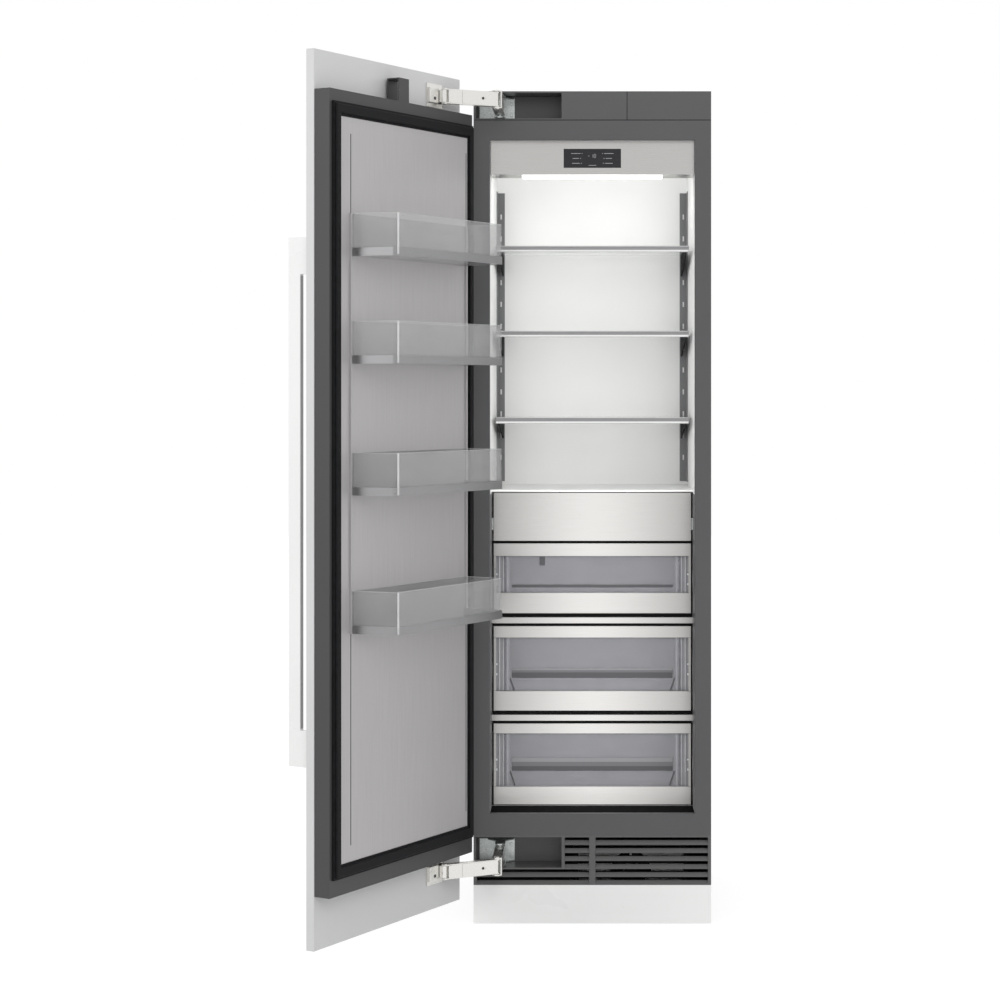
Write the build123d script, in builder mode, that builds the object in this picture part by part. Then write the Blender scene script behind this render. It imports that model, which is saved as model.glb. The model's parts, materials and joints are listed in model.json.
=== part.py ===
from build123d import *
from math import acos, atan2, cos, hypot, radians, sin
import os

os.makedirs("parts", exist_ok=True)

# Built-in freezer column with a panel-fronted door on two folding hinges, drawn with its door open.
# Millimetres. X runs to the right, Y into the cabinet and Z up. The origin is on the floor, in the middle
# of the front face.

# Cabinet
cabinet_width = 603
cabinet_depth = 610
cabinet_height = 2113
plinth_height = 99
vent_height = 125
hinge_zone_height = 73
underside_height = 40
sheet = 1.5
frame_depth = 14
frame_side = 41.5
frame_edge = 2.3
sill_height = 56
lintel_height = 51
liner_wall = 3
back_insulation = 45
fit_gap = 0.5
anchor_spacing = 400
anchor_setback = 30
anchor_radius = 3.5
cord_hole_inset = 151.5
cord_hole_drop = 21
cord_hole_radius = 9
hose_hole_width = 74
air_slot_width = 70
air_slot_height = 8
air_slot_x = 60
air_slot_z = 148
air_slot_spacing = 110
air_slot_pitch = 18
air_slot_columns = 2
air_slot_rows = 4

# Hinge pockets, behind the fascia at the top and behind the vent at the bottom
pocket_margin = 4.5
pocket_width = 219
pocket_wall = 2
pocket_depth = 84
pocket_height = 65
fascia_seam = 88
seam_width = 1

# Vent and plinth
vent_border = 8
mullion_width = 16
slat_pitch = 20.3
slat_setback = 1
slat_thickness = 2
slat_rake = 7
slat_rise = 9
plinth_floor_gap = 2
plinth_sheet = 2

# Base, feet and rollers
pan_sheet = 2
pan_lip = 20
foot_inset = 46
foot_setback = 60
foot_radius = 22
foot_thickness = 12
foot_stem_radius = 6
roller_radius = 18
roller_width = 24
roller_inset = 56
roller_setback = 50
axle_radius = 4
running_clearance = 0.05
hanger_gap = 4
hanger_sheet = 3
hanger_half_length = 12
hanger_drop = 10

# Water inlet valve, on its own stand behind the hole for its hose
inlet_inset = 101.5
inlet_stand = 36
inlet_width = 36
inlet_depth = 30
inlet_height = 44
inlet_edge = 3
inlet_radius = 6
inlet_bore_radius = 3
inlet_length = 24
inlet_collar_radius = 10
inlet_collar = 4
inlet_setback = 8
coil_width = 22
coil_length = 20

# Refrigeration
compressor_inset = 151.5
compressor_setback = 180
compressor_radius = 66
compressor_height = 128
compressor_cap = 12
compressor_cap_radius = 46
compressor_foot = 12
compressor_foot_radius = 10
compressor_plate = 150
compressor_plate_depth = 90
foot_spacing = 124
foot_spacing_depth = 66
terminal_width = 44
terminal_height = 40
terminal_proud = 16
condenser_inset = 201.5
condenser_width = 300
condenser_setback = 105
condenser_depth = 24
condenser_height = 130
condenser_tank = 14
flat_tube_pitch = 13
flat_tube_gap = 11
shroud_gap = 2
shroud_sheet = 3
shroud_arm = 6
fan_radius = 52
fan_tip_gap = 4
fan_blades = 5
fan_hub_radius = 16
fan_depth = 14
blade_root = 12
blade_tip = 20
blade_sheet = 1.6
blade_pitch = 35
fan_shaft_radius = 3
fan_motor_radius = 22
fan_motor_length = 28
evaporator_width = 380
evaporator_depth = 46
evaporator_height = 190
evaporator_rise = 50
fin_pitch = 47.5
fin_thickness = 1.2
tube_radius = 4
tube_rows = 2
evaporator_fan_rise = 340
duct_depth = 94
duct_sheet = 4
duct_slot_height = 10
duct_slot_edge = 20
duct_slot_gap = 15
duct_slot_drop = 36.5
duct_slot_rise = 20

# Interior
header_setback = 22
header_height = 85
header_depth = 100
header_sheet = 2
header_gap = 1
display_width = 146
display_height = 48.5
display_drop = 44
display_thickness = 2.4
display_proud = 0.5
light_width = 360
light_depth = 66
light_thickness = 4
light_edge = 1.4
fronts_setback = 112
track_side_leg = 60
track_back_leg = 20
track_sheet = 2
track_gap = 9
track_slot_height = 14
track_slot_width = 4
track_slot_pitch = 60
shelf_shares = (0.2327, 0.5099, 0.7822)
shelf_side_gap = 10
shelf_glass = 5
shelf_trim_height = 16
shelf_trim_depth = 18
shelf_trim_foot = 9
shelf_trim_wall = 1.5
bracket_sheet = 3
bracket_tip_height = 10
bracket_root_height = 56
bracket_root_depth = 28
bracket_inset = 3
deck_gap = 7
deck_thickness = 5
deck_nose = 2
rail_height = 15
rail_depth = 8
rail_drop = 10.5

# Drawers, from the bottom up, and the ice drawer above them
drawer_floor_gap = 2.5
drawer_heights = (209.5, 219, 181)
drawer_gap = 33
drawer_side_gap = 5
drawer_top_bands = (26, 30, 33)
drawer_bottom_bands = (46.5, 51, 53)
drawer_front_depth = 6
drawer_post = 6
post_setback = 3
finger_height = 15
lip_edge = 0.8
tub_wall = 3
tub_side_gap = 24
tub_back_gap = 18.5
tub_floor_gap = 8
tub_lid_gap = 14
tub_corner = 12
tub_step_height = 26
tub_step_depth = 90
tub_step_slope = 36
ice_gap = 7
ice_height = 124
ice_front_depth = 14
ice_sheet = 1.5
ice_tub_height = 70

# Telescopic slides
slide_back_gap = 16
slide_outer_height = 30
slide_wall = 2
slide_outer_depth = 14
slide_gap = 0.5
slide_inner_tuck = 4
runner_height = 12

# Ice maker, under the deck above the ice drawer
ice_maker_width = 180
ice_maker_depth = 90
ice_maker_height = 34
ice_maker_setback = 60
ice_maker_corner = 4
ice_cells = 7
ice_cell_wall = 4
ice_cell_height = 17

# Door
door_open_angle = 120
open_overhang = 29.8
open_lead = 85.2
panel_side_gap = 1.5
panel_overlap = 17
panel_thickness = 22
panel_edge = 0.75
door_margin = 8
door_free_margin = 2
door_low_overlap = 18
door_high_gap = 2
door_depth = 42
door_wall = 1.5
gasket_inset = 4
gasket_free_inset = 10
gasket_width = 26
gasket_end_width = 32
gasket_height = 12
gasket_low_gap = 21
gasket_high_gap = 30
gasket_bead = 5
gasket_crown = 3
liner_plate = 6
liner_edge = 2
liner_sheet = 1.5
tab_offset = 3.5
tab_width = 41
tab_height = 56
tab_setback = 7
tab_sheet = 3

# Door bins
lowest_bin_bottom = 798
second_bin_rise = 316
third_bin_rise = 301
top_bin_rise = 246
bin_height = 97
bin_hinge_gap = 12
bin_free_gap = 37
bin_slope = 20
bin_reach = 163.5
bin_wall = 3
bin_corner = 12
bin_trim_height = 19
bin_trim_sheet = 2
bin_track_width = 5
bin_track_depth = 5

# Handle
handle_bottom = 493
handle_top = 1704
handle_edge_gap = 20
handle_width = 12
handle_depth = 34
handle_stand_off = 32
handle_foot = 84
handle_edge = 2.5

# Folding hinges
lower_hinge_drop = 52
pivot_inset = 66.5
pivot_depth = 25
door_pivot = (98, 20)
inner_arm_length = 140
outer_arm_length = 142
inner_arm_half_width = 12
outer_arm_half_width = 8.5
bracket_half_height = 29
inner_arm_half_height = 22
outer_arm_half_height = 18
bracket_plate = 3
inner_arm_plate = 3
outer_arm_plate = 2.5
lug_gap = 1
lug_radius = 8
pin_radius = 5
arm_corner = 6.5
fold_room = 7
web_setback = 14
bracket_margin = 7
bracket_width = 90
ear_radius = 13
ear_tip = 6
ear_spread = 34
ear_flare = 20
door_plate_width = 66
door_plate_lead = 14

# Heights, depths and widths that follow
half_width = cabinet_width / 2
second_bin_bottom = lowest_bin_bottom + second_bin_rise
third_bin_bottom = second_bin_bottom + third_bin_rise
bin_bottoms = (lowest_bin_bottom, second_bin_bottom, third_bin_bottom, third_bin_bottom + top_bin_rise)
base_top = plinth_height + vent_height
case_top = cabinet_height - hinge_zone_height
opening_bottom = base_top + sill_height
opening_top = case_top - lintel_height
opening_half = half_width - frame_side
liner_back = cabinet_depth - sheet - back_insulation - liner_wall
duct_front = liner_back - duct_depth
duct_slot_width = (2 * opening_half - 2 * duct_slot_edge - 2 * duct_slot_gap) / 3
header_bottom = opening_top - header_height
shelf_half = opening_half - shelf_side_gap
drawer_half = opening_half - drawer_side_gap
tub_half = opening_half - tub_side_gap
tub_front = fronts_setback + drawer_front_depth
tub_back = duct_front - tub_back_gap
pan_top = underside_height + pan_sheet
inlet_x = inlet_inset - half_width
inlet_z = pan_top + inlet_stand + inlet_height / 2
rear_rollers_y = cabinet_depth - roller_setback
foot_x = half_width - foot_inset
roller_x = half_width - roller_inset
condenser_x = half_width - condenser_inset
condenser_back = condenser_setback + condenser_depth
condenser_fan_z = pan_top + condenser_height / 2
shroud_front = condenser_back + shroud_gap
condenser_motor_front = shroud_front + shroud_sheet + fan_depth
evaporator_fan_z = opening_bottom + evaporator_fan_rise
evaporator_motor_back = duct_front + duct_sheet + fan_motor_length

# The drawers stand on each other from the liner's floor up, and the ice drawer and its deck close the stack.
drawer_bottoms = [opening_bottom + drawer_floor_gap]
for height in drawer_heights:
    drawer_bottoms.append(drawer_bottoms[-1] + height + drawer_gap)
drawer_bottoms.pop()
drawer_tops = [bottom + height for bottom, height in zip(drawer_bottoms, drawer_heights)]
ice_bottom = drawer_tops[-1] + ice_gap
ice_top = ice_bottom + ice_height
deck_top = ice_top + deck_gap
shelf_tops = [deck_top + share * (header_bottom - deck_top) for share in shelf_shares]

# Slide members, from the liner's wall inwards
slide_start = tub_front + slide_gap
slide_length = duct_front - slide_back_gap - slide_start
telescope_outer = opening_half - slide_wall - slide_gap
telescope_depth = slide_outer_depth - slide_wall - slide_gap
telescope_half_height = slide_outer_height / 2 - slide_wall - slide_gap
runner_outer = telescope_outer - slide_wall - slide_gap

# Hinges
pocket_left = pocket_margin - half_width
pocket_right = pocket_left + pocket_width
lower_hinge = base_top - lower_hinge_drop
upper_hinge = cabinet_height - hinge_zone_height / 2
hinge_centres = (lower_hinge, upper_hinge)
cabinet_pivot = (pivot_inset - half_width, pivot_depth)
upper_pocket_bottom = upper_hinge - pocket_height / 2
lower_pocket_bottom = lower_hinge - bracket_half_height
lower_pocket_top = base_top - sheet - pocket_wall

# Door
panel_width = cabinet_width - 2 * panel_side_gap
panel_bottom = plinth_height - panel_overlap
panel_top = cabinet_height + panel_overlap
pan_right = panel_width - door_free_margin
door_bottom = base_top - door_low_overlap
door_top = case_top - door_high_gap
gasket_left = door_margin + gasket_inset
gasket_right = pan_right - gasket_free_inset
gasket_bottom = base_top + gasket_low_gap
gasket_top = case_top - gasket_high_gap
plate_left = gasket_left + gasket_width
plate_right = gasket_right - gasket_width
plate_bottom = gasket_bottom + gasket_end_width
plate_top = gasket_top - gasket_end_width
bin_left = plate_left + bin_hinge_gap
bin_right = plate_right - bin_free_gap
bin_back = door_depth + liner_plate


def level(z):
    """Plane at height z, with X across and Y into the cabinet."""
    return Plane.XY.offset(z)


def front(y):
    """Upright plane at depth y, facing the viewer, with X across and Z up."""
    return Plane.XZ.offset(-y)


def across(x):
    """Upright plane at x, with Y across and Z up."""
    return Plane.YZ.offset(x)


def area(across_from, across_to, up_from, up_to, mode=Mode.ADD):
    """Adds a rectangle between two pairs of limits to the sketch being drawn."""
    with Locations(((across_from + across_to) / 2, (up_from + up_to) / 2)):
        Rectangle(abs(across_to - across_from), abs(up_to - up_from), mode=mode)


def disc(x, y, radius, mode=Mode.ADD):
    """Adds a circle about a point to the sketch being drawn."""
    with Locations((x, y)):
        Circle(radius, mode=mode)


def outline(*points):
    """Adds a polygon through the points to the sketch being drawn."""
    Polygon(*points, align=None)


def save(builder, name):
    """Labels a finished piece and writes it under its own name."""
    builder.part.label = name
    export_step(builder.part, f"parts/{name}.step")


def turned(vector, angle):
    """Plan vector turned anticlockwise by an angle in degrees."""
    c = cos(radians(angle))
    s = sin(radians(angle))
    return (vector[0] * c - vector[1] * s, vector[0] * s + vector[1] * c)


def elbow(start, end, first, second):
    """Middle pivot of two links that join start to end, bent to the left of the line."""
    dx = end[0] - start[0]
    dy = end[1] - start[1]
    reach = hypot(dx, dy)
    bend = acos((first**2 + reach**2 - second**2) / (2 * first * reach))
    angle = atan2(dy, dx) + bend
    return (start[0] + first * cos(angle), start[1] + first * sin(angle))


# The door's own planes: x runs along the door from its hinge edge, y from the panel's back into the door.
along = turned((1, 0), -door_open_angle)
inward = turned((0, 1), -door_open_angle)
open_corner = (-half_width - open_overhang, -open_lead)
door_base = Plane(origin=(*open_corner, 0), x_dir=(*along, 0), z_dir=(0, 0, 1))
into_door = Axis(door_base.origin, (*inward, 0))


def door_level(z):
    """Level plane in the door's own directions at height z."""
    return door_base.offset(z)


def door_face(depth):
    """Upright plane parallel to the door at a depth behind the panel, with its width across and Z up."""
    origin = door_base.from_local_coords((0, depth, 0))
    return Plane(origin=origin, x_dir=(*along, 0), z_dir=(-inward[0], -inward[1], 0))


def door_section(distance):
    """Upright plane across the door at a distance from its hinge edge, with its depth across and Z up."""
    origin = door_base.from_local_coords((distance, 0, 0))
    return Plane(origin=origin, x_dir=(*inward, 0), z_dir=(*along, 0))


def outer_case():
    """Painted steel wrapper: sides, back and roof, with a plate under the insulation."""
    inner_half = half_width - sheet
    inner_back = cabinet_depth - sheet
    with BuildPart() as case:
        with BuildSketch(level(underside_height)):
            area(-half_width, half_width, frame_depth, cabinet_depth)
            area(-inner_half, inner_half, frame_depth, inner_back, mode=Mode.SUBTRACT)
        extrude(amount=cabinet_height - underside_height)
        with BuildSketch(level(cabinet_height - sheet), level(base_top - sheet)):
            area(-inner_half, inner_half, frame_depth, inner_back)
        extrude(amount=sheet)
        # Holes for the water hose and the supply cord, and air slots behind the condenser
        with BuildSketch(front(cabinet_depth)):
            with Locations((inlet_x, inlet_z)):
                Rectangle(hose_hole_width, hose_hole_width)
            disc(cord_hole_inset - half_width, base_top - cord_hole_drop, cord_hole_radius)
            with Locations((air_slot_x, air_slot_z)):
                with GridLocations(air_slot_spacing, air_slot_pitch, air_slot_columns, air_slot_rows):
                    Rectangle(air_slot_width, air_slot_height)
        extrude(amount=sheet, mode=Mode.SUBTRACT)
        with BuildSketch(level(cabinet_height)):
            with Locations((0, cabinet_depth - anchor_setback)):
                with GridLocations(anchor_spacing, 0, 2, 1):
                    Circle(anchor_radius)
        extrude(amount=-sheet, mode=Mode.SUBTRACT)
    save(case, "outer_case")


def insulation_and_liner():
    """Foam between the wrapper and the liner, the liner itself, and the frame round its mouth."""
    liner_depth = liner_back + liner_wall - frame_depth
    with BuildPart() as insulation:
        with BuildSketch(front(frame_depth)):
            area(sheet - half_width, half_width - sheet, base_top, case_top)
        extrude(amount=frame_depth - cabinet_depth + sheet)
        with BuildSketch(front(frame_depth)):
            area(-opening_half - liner_wall, opening_half + liner_wall,
                 opening_bottom - liner_wall, opening_top + liner_wall)
        extrude(amount=-liner_depth, mode=Mode.SUBTRACT)
    save(insulation, "insulation")

    with BuildPart() as liner:
        with BuildSketch(front(frame_depth)):
            area(-opening_half - liner_wall, opening_half + liner_wall,
                 opening_bottom - liner_wall, opening_top + liner_wall)
        extrude(amount=-liner_depth)
        with BuildSketch(front(frame_depth)):
            area(-opening_half, opening_half, opening_bottom, opening_top)
        extrude(amount=liner_wall - liner_depth, mode=Mode.SUBTRACT)
    save(liner, "liner")

    with BuildPart() as face_frame:
        with BuildSketch(front(0)):
            area(-half_width, half_width, base_top, case_top)
            area(-opening_half, opening_half, opening_bottom, opening_top, mode=Mode.SUBTRACT)
        extrude(amount=-frame_depth)
        mouth = face_frame.faces().sort_by(Axis.Y)[0].inner_wires()[0].edges()
        fillet(mouth, radius=frame_edge)
    save(face_frame, "face_frame")


def hinge_pocket(bottom, top):
    """Adds a box behind the front face for a folded hinge, and opens it towards the viewer."""
    with BuildSketch(front(frame_depth)) as box:
        area(pocket_left - pocket_wall, pocket_right + pocket_wall, bottom - pocket_wall, top + pocket_wall)
    extrude(box.sketch, amount=frame_depth - pocket_depth - pocket_wall)
    with BuildSketch(front(0)) as mouth:
        area(pocket_left, pocket_right, bottom, top)
    extrude(mouth.sketch, amount=-pocket_depth, mode=Mode.SUBTRACT)


def top_fascia():
    """Front of the hinge zone, with the upper pocket and the seam between its two cover plates."""
    with BuildPart() as fascia:
        with BuildSketch(front(0)):
            area(-half_width, half_width, case_top, cabinet_height)
        extrude(amount=-frame_depth)
        hinge_pocket(upper_pocket_bottom, upper_pocket_bottom + pocket_height)
        with BuildSketch(front(0)):
            area(fascia_seam, fascia_seam + seam_width, case_top, cabinet_height)
        extrude(amount=-seam_width, mode=Mode.SUBTRACT)
    save(fascia, "top_fascia")


def vent_grille():
    """Louvred vent in three windows round the lower pocket."""
    rows = int((vent_height - vent_border) / slat_pitch) + 1
    low_rows = int((lower_pocket_bottom - plinth_height) / slat_pitch)
    mullion = mullion_width / 2
    window_bottom = plinth_height + vent_border / 2
    window_top = base_top - vent_border / 2
    low_window_top = lower_pocket_bottom - vent_border / 2
    # Left, right, bottom and top of each window, and its first and last rows of slats
    windows = (
        (mullion, half_width - vent_border, window_bottom, window_top, 0, rows),
        (pocket_right + vent_border, -mullion, lower_pocket_bottom, window_top, low_rows, rows),
        (vent_border - half_width, -mullion, window_bottom, low_window_top, 0, low_rows),
    )
    slat_back = slat_setback + slat_rake
    with BuildPart() as grille:
        with BuildSketch(front(0)):
            area(-half_width, half_width, plinth_height, base_top)
            for left, right, bottom, top, _, _ in windows:
                area(left, right, bottom, top, mode=Mode.SUBTRACT)
        extrude(amount=-frame_depth)
        for left, right, bottom, top, first, last in windows:
            with BuildSketch(across(left)):
                for row in range(first, last):
                    z = plinth_height + row * slat_pitch
                    outline((slat_setback, z), (slat_back, z + slat_rise),
                            (slat_back, z + slat_rise + slat_thickness), (slat_setback, z + slat_thickness))
                area(0, frame_depth, bottom - slat_pitch, bottom, mode=Mode.SUBTRACT)
                area(0, frame_depth, top, top + slat_pitch, mode=Mode.SUBTRACT)
            extrude(amount=right - left)
        hinge_pocket(lower_pocket_bottom, lower_pocket_top)
    save(grille, "vent_grille")


def toe_kick():
    """Folded plinth panel under the vent."""
    with BuildPart() as kick:
        with BuildSketch(across(-half_width)):
            area(0, frame_depth, plinth_floor_gap, plinth_height)
            area(plinth_sheet, frame_depth, plinth_floor_gap + plinth_sheet, plinth_height - plinth_sheet,
                 mode=Mode.SUBTRACT)
        extrude(amount=cabinet_width)
        ends = kick.edges().filter_by(Axis.Z).group_by(Axis.Y)[0]
        fillet(ends, radius=plinth_sheet / 2)
    save(kick, "toe_kick")


def base_pan():
    """Pan under the machine compartment, with turned-up lips and the two hangers of the rear axle."""
    pan_half = half_width - sheet
    pan_back = cabinet_depth - sheet
    hanger_inner = roller_x - roller_width / 2 - hanger_gap - hanger_sheet
    with BuildPart() as pan:
        with BuildSketch(level(underside_height)):
            area(-pan_half, pan_half, frame_depth, pan_back)
        extrude(amount=pan_sheet)
        with BuildSketch(level(underside_height)):
            area(-pan_half, pan_half, pan_back - pan_sheet, pan_back)
            area(-pan_half, pan_half, frame_depth, frame_depth + pan_sheet)
        extrude(amount=pan_lip)
        with BuildSketch(across(hanger_inner), across(-hanger_inner - hanger_sheet)):
            outline((rear_rollers_y - hanger_half_length, underside_height),
                    (rear_rollers_y - hanger_half_length / 2, roller_radius - hanger_drop),
                    (rear_rollers_y + hanger_half_length / 2, roller_radius - hanger_drop),
                    (rear_rollers_y + hanger_half_length, underside_height))
            disc(rear_rollers_y, roller_radius, axle_radius + running_clearance, mode=Mode.SUBTRACT)
        extrude(amount=hanger_sheet)
    save(pan, "base_pan")


def feet_and_rollers():
    """Levelling feet in front, and two rollers fixed to one axle behind."""
    with BuildPart() as feet:
        for side in (-1, 1):
            with BuildSketch(level(0)):
                with Locations((side * foot_x, foot_setback)):
                    RegularPolygon(foot_radius, 6)
            extrude(amount=foot_thickness)
            with BuildSketch(level(foot_thickness)):
                disc(side * foot_x, foot_setback, foot_stem_radius)
            extrude(amount=underside_height - foot_thickness)
    save(feet, "front_feet")

    with BuildPart() as rollers:
        with BuildSketch(across(-roller_x)):
            disc(rear_rollers_y, roller_radius, axle_radius)
        extrude(amount=2 * roller_x)
        with BuildSketch(across(-roller_x - roller_width / 2), across(roller_x - roller_width / 2)):
            disc(rear_rollers_y, roller_radius, roller_radius)
        extrude(amount=roller_width)
    save(rollers, "rear_rollers")


def water_inlet():
    """Solenoid valve of the ice maker's water line: stand, body, coil and threaded stub."""
    stub_root = cabinet_depth - inlet_setback - inlet_length
    body_bottom = pan_top + inlet_stand
    body_top = body_bottom + inlet_height
    with BuildPart() as inlet:
        with BuildSketch(front(stub_root)):
            area(inlet_x - inlet_width / 2, inlet_x + inlet_width / 2, body_bottom, body_top)
        extrude(amount=inlet_depth)
        chamfer(inlet.edges().filter_by(Axis.Y), length=inlet_edge)
        with BuildSketch(front(stub_root)):
            area(inlet_x - inlet_width / 2, inlet_x + inlet_width / 2, pan_top, body_bottom + inlet_edge)
        extrude(amount=inlet_edge)
        with BuildSketch(level(body_top)):
            with Locations((inlet_x, stub_root - inlet_depth / 2)):
                Rectangle(coil_width, coil_width)
        extrude(amount=coil_length)
        with BuildSketch(front(stub_root)):
            with Locations((inlet_x, inlet_z)):
                RegularPolygon(inlet_collar_radius, 6)
        extrude(amount=-inlet_collar)
        with BuildSketch(front(stub_root)):
            disc(inlet_x, inlet_z, inlet_radius)
        extrude(amount=-inlet_length)
        with BuildSketch(front(stub_root + inlet_length)):
            disc(inlet_x, inlet_z, inlet_bore_radius)
        extrude(amount=inlet_length, mode=Mode.SUBTRACT)
    save(inlet, "water_inlet")


def compressor():
    """Welded steel can with its terminal box, on a mounting plate with four rubber feet."""
    x = half_width - compressor_inset
    y = cabinet_depth - compressor_setback
    bottom = pan_top + compressor_foot
    top = pan_top + compressor_height
    shoulder = top - compressor_cap
    with BuildPart() as can:
        with BuildSketch(front(y)):
            outline((x, bottom), (x + compressor_radius, bottom), (x + compressor_radius, shoulder),
                    (x + compressor_cap_radius, shoulder), (x + compressor_cap_radius, top), (x, top))
        revolve(axis=Axis((x, y, 0), (0, 0, 1)))
        with BuildSketch(level(bottom)):
            with Locations((x, y)):
                Rectangle(compressor_plate, compressor_plate_depth)
        extrude(amount=pan_sheet)
        with BuildSketch(level(pan_top)):
            with Locations((x, y)):
                with GridLocations(foot_spacing, foot_spacing_depth, 2, 2):
                    RegularPolygon(compressor_foot_radius, 6)
        extrude(amount=compressor_foot)
        with BuildSketch(front(y)):
            with Locations((x, (bottom + top) / 2)):
                Rectangle(terminal_width, terminal_height)
        extrude(amount=-compressor_radius - terminal_proud)
    save(can, "compressor")


def condenser():
    """Microchannel condenser: flat tubes between two tanks."""
    tubes = int(condenser_height / flat_tube_pitch)
    core = condenser_width - 2 * condenser_tank
    with BuildPart() as block:
        with BuildSketch(front(condenser_setback)):
            with Locations((condenser_x, condenser_fan_z)):
                Rectangle(condenser_width, condenser_height)
                with GridLocations(0, flat_tube_pitch, 1, tubes):
                    Rectangle(core, flat_tube_gap, mode=Mode.SUBTRACT)
        extrude(amount=-condenser_depth)
        corners = block.edges().filter_by(Axis.Z)
        ends = corners.group_by(Axis.X)[0] + corners.group_by(Axis.X)[-1]
        chamfer(ends, length=condenser_tank / 3)
    save(block, "condenser")


def fan_shroud():
    """Plate behind the condenser with a round mouth, and three arms that carry the fan's motor."""
    x = condenser_x
    z = condenser_fan_z
    bottom = pan_top
    spoke = fan_radius + shroud_arm
    with BuildPart() as shroud:
        with BuildSketch(front(shroud_front)):
            with Locations((x, z)):
                Rectangle(condenser_width, 2 * (z - bottom))
                Circle(fan_radius, mode=Mode.SUBTRACT)
        extrude(amount=-shroud_sheet)
        with BuildSketch(front(condenser_motor_front)):
            with Locations((x, z)):
                for arm in range(3):
                    with Locations(Rotation(0, 0, 90 + arm * 120)):
                        area(0, spoke, -shroud_arm / 2, shroud_arm / 2)
        extrude(amount=-shroud_sheet)
        with BuildSketch(front(shroud_front)):
            with Locations((x, z)):
                with PolarLocations(spoke - shroud_arm / 2, 3, start_angle=90):
                    Rectangle(shroud_arm, shroud_arm)
        extrude(amount=shroud_front - condenser_motor_front - shroud_sheet)
        with BuildSketch(front(condenser_motor_front)):
            disc(x, z, fan_motor_radius)
        extrude(amount=-fan_motor_length)
        with BuildSketch(front(condenser_motor_front)):
            disc(x, z, fan_shaft_radius + running_clearance)
        extrude(amount=-fan_motor_length, mode=Mode.SUBTRACT)
    save(shroud, "fan_shroud")


def fan(x, z, hub_front, shaft_front, shaft_back, name):
    """Axial fan that turns about Y: a hub, pitched blades and a shaft between two depths."""
    with BuildPart() as wheel:
        with BuildSketch(front(hub_front)):
            disc(x, z, fan_hub_radius)
        extrude(amount=-fan_depth)
        for blade in range(fan_blades):
            turn = radians(blade * 360 / fan_blades)
            lean = radians(blade_pitch)
            outwards = (cos(turn), 0, sin(turn))
            facing = (-sin(turn) * sin(lean), -cos(lean), cos(turn) * sin(lean))
            root = fan_hub_radius / 2
            tip = fan_radius - fan_tip_gap
            with BuildSketch(Plane(origin=(x, hub_front + fan_depth / 2, z), x_dir=outwards, z_dir=facing)):
                outline((root, -blade_root / 2), (tip, -blade_tip / 2), (tip, blade_tip / 2),
                        (root, blade_root / 2))
            extrude(amount=blade_sheet / 2, both=True)
        with BuildSketch(front(shaft_front)):
            disc(x, z, fan_shaft_radius)
        extrude(amount=shaft_front - shaft_back)
    save(wheel, name)


def fans():
    """Condenser fan in front of its motor, and evaporator fan behind the one on the duct panel."""
    hub_front = condenser_motor_front - fit_gap - fan_depth
    shaft_back = condenser_motor_front + fan_motor_length / 2
    fan(condenser_x, condenser_fan_z, hub_front, hub_front, shaft_back, "condenser_fan")
    hub_front = evaporator_motor_back + fit_gap
    shaft_front = evaporator_motor_back - fan_motor_length / 2
    fan(0, evaporator_fan_z, hub_front, shaft_front, hub_front + fan_depth, "evaporator_fan")


def evaporator():
    """Finned coil on the liner's back wall."""
    bottom = opening_bottom + evaporator_rise
    back = liner_back
    fins = int(evaporator_width / fin_pitch)
    left = -fins / 2 * fin_pitch
    with BuildPart() as coil:
        with BuildSketch(*[across(left + index * fin_pitch) for index in range(fins + 1)]):
            area(back - evaporator_depth, back, bottom, bottom + evaporator_height)
        extrude(amount=fin_thickness)
        with BuildSketch(across(left)):
            with Locations((back - evaporator_depth / 2, bottom + evaporator_height / 2)):
                with GridLocations(0, evaporator_height / tube_rows, 1, tube_rows):
                    RegularPolygon(tube_radius, 6)
        extrude(amount=fins * fin_pitch + fin_thickness)
    save(coil, "evaporator")


def duct_panel():
    """Rear wall of the cabinet's inside, with its air slots and the motor of the evaporator fan."""
    with BuildPart() as panel:
        with BuildSketch(front(duct_front)):
            area(-opening_half, opening_half, opening_bottom, opening_top)
            with Locations((0, opening_top - duct_slot_drop)):
                with GridLocations(duct_slot_width + duct_slot_gap, 2 * duct_slot_height, 3, 2):
                    Rectangle(duct_slot_width, duct_slot_height, mode=Mode.SUBTRACT)
            with Locations((0, opening_bottom + duct_slot_rise)):
                with GridLocations(duct_slot_width + duct_slot_gap, 0, 3, 1):
                    Rectangle(duct_slot_width, duct_slot_height, mode=Mode.SUBTRACT)
        extrude(amount=-duct_sheet)
        with BuildSketch(front(duct_front + duct_sheet)):
            disc(0, evaporator_fan_z, fan_motor_radius)
        extrude(amount=-fan_motor_length)
        with BuildSketch(front(evaporator_motor_back)):
            disc(0, evaporator_fan_z, fan_shaft_radius + running_clearance)
        extrude(amount=fan_motor_length, mode=Mode.SUBTRACT)
    save(panel, "duct_panel")


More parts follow.
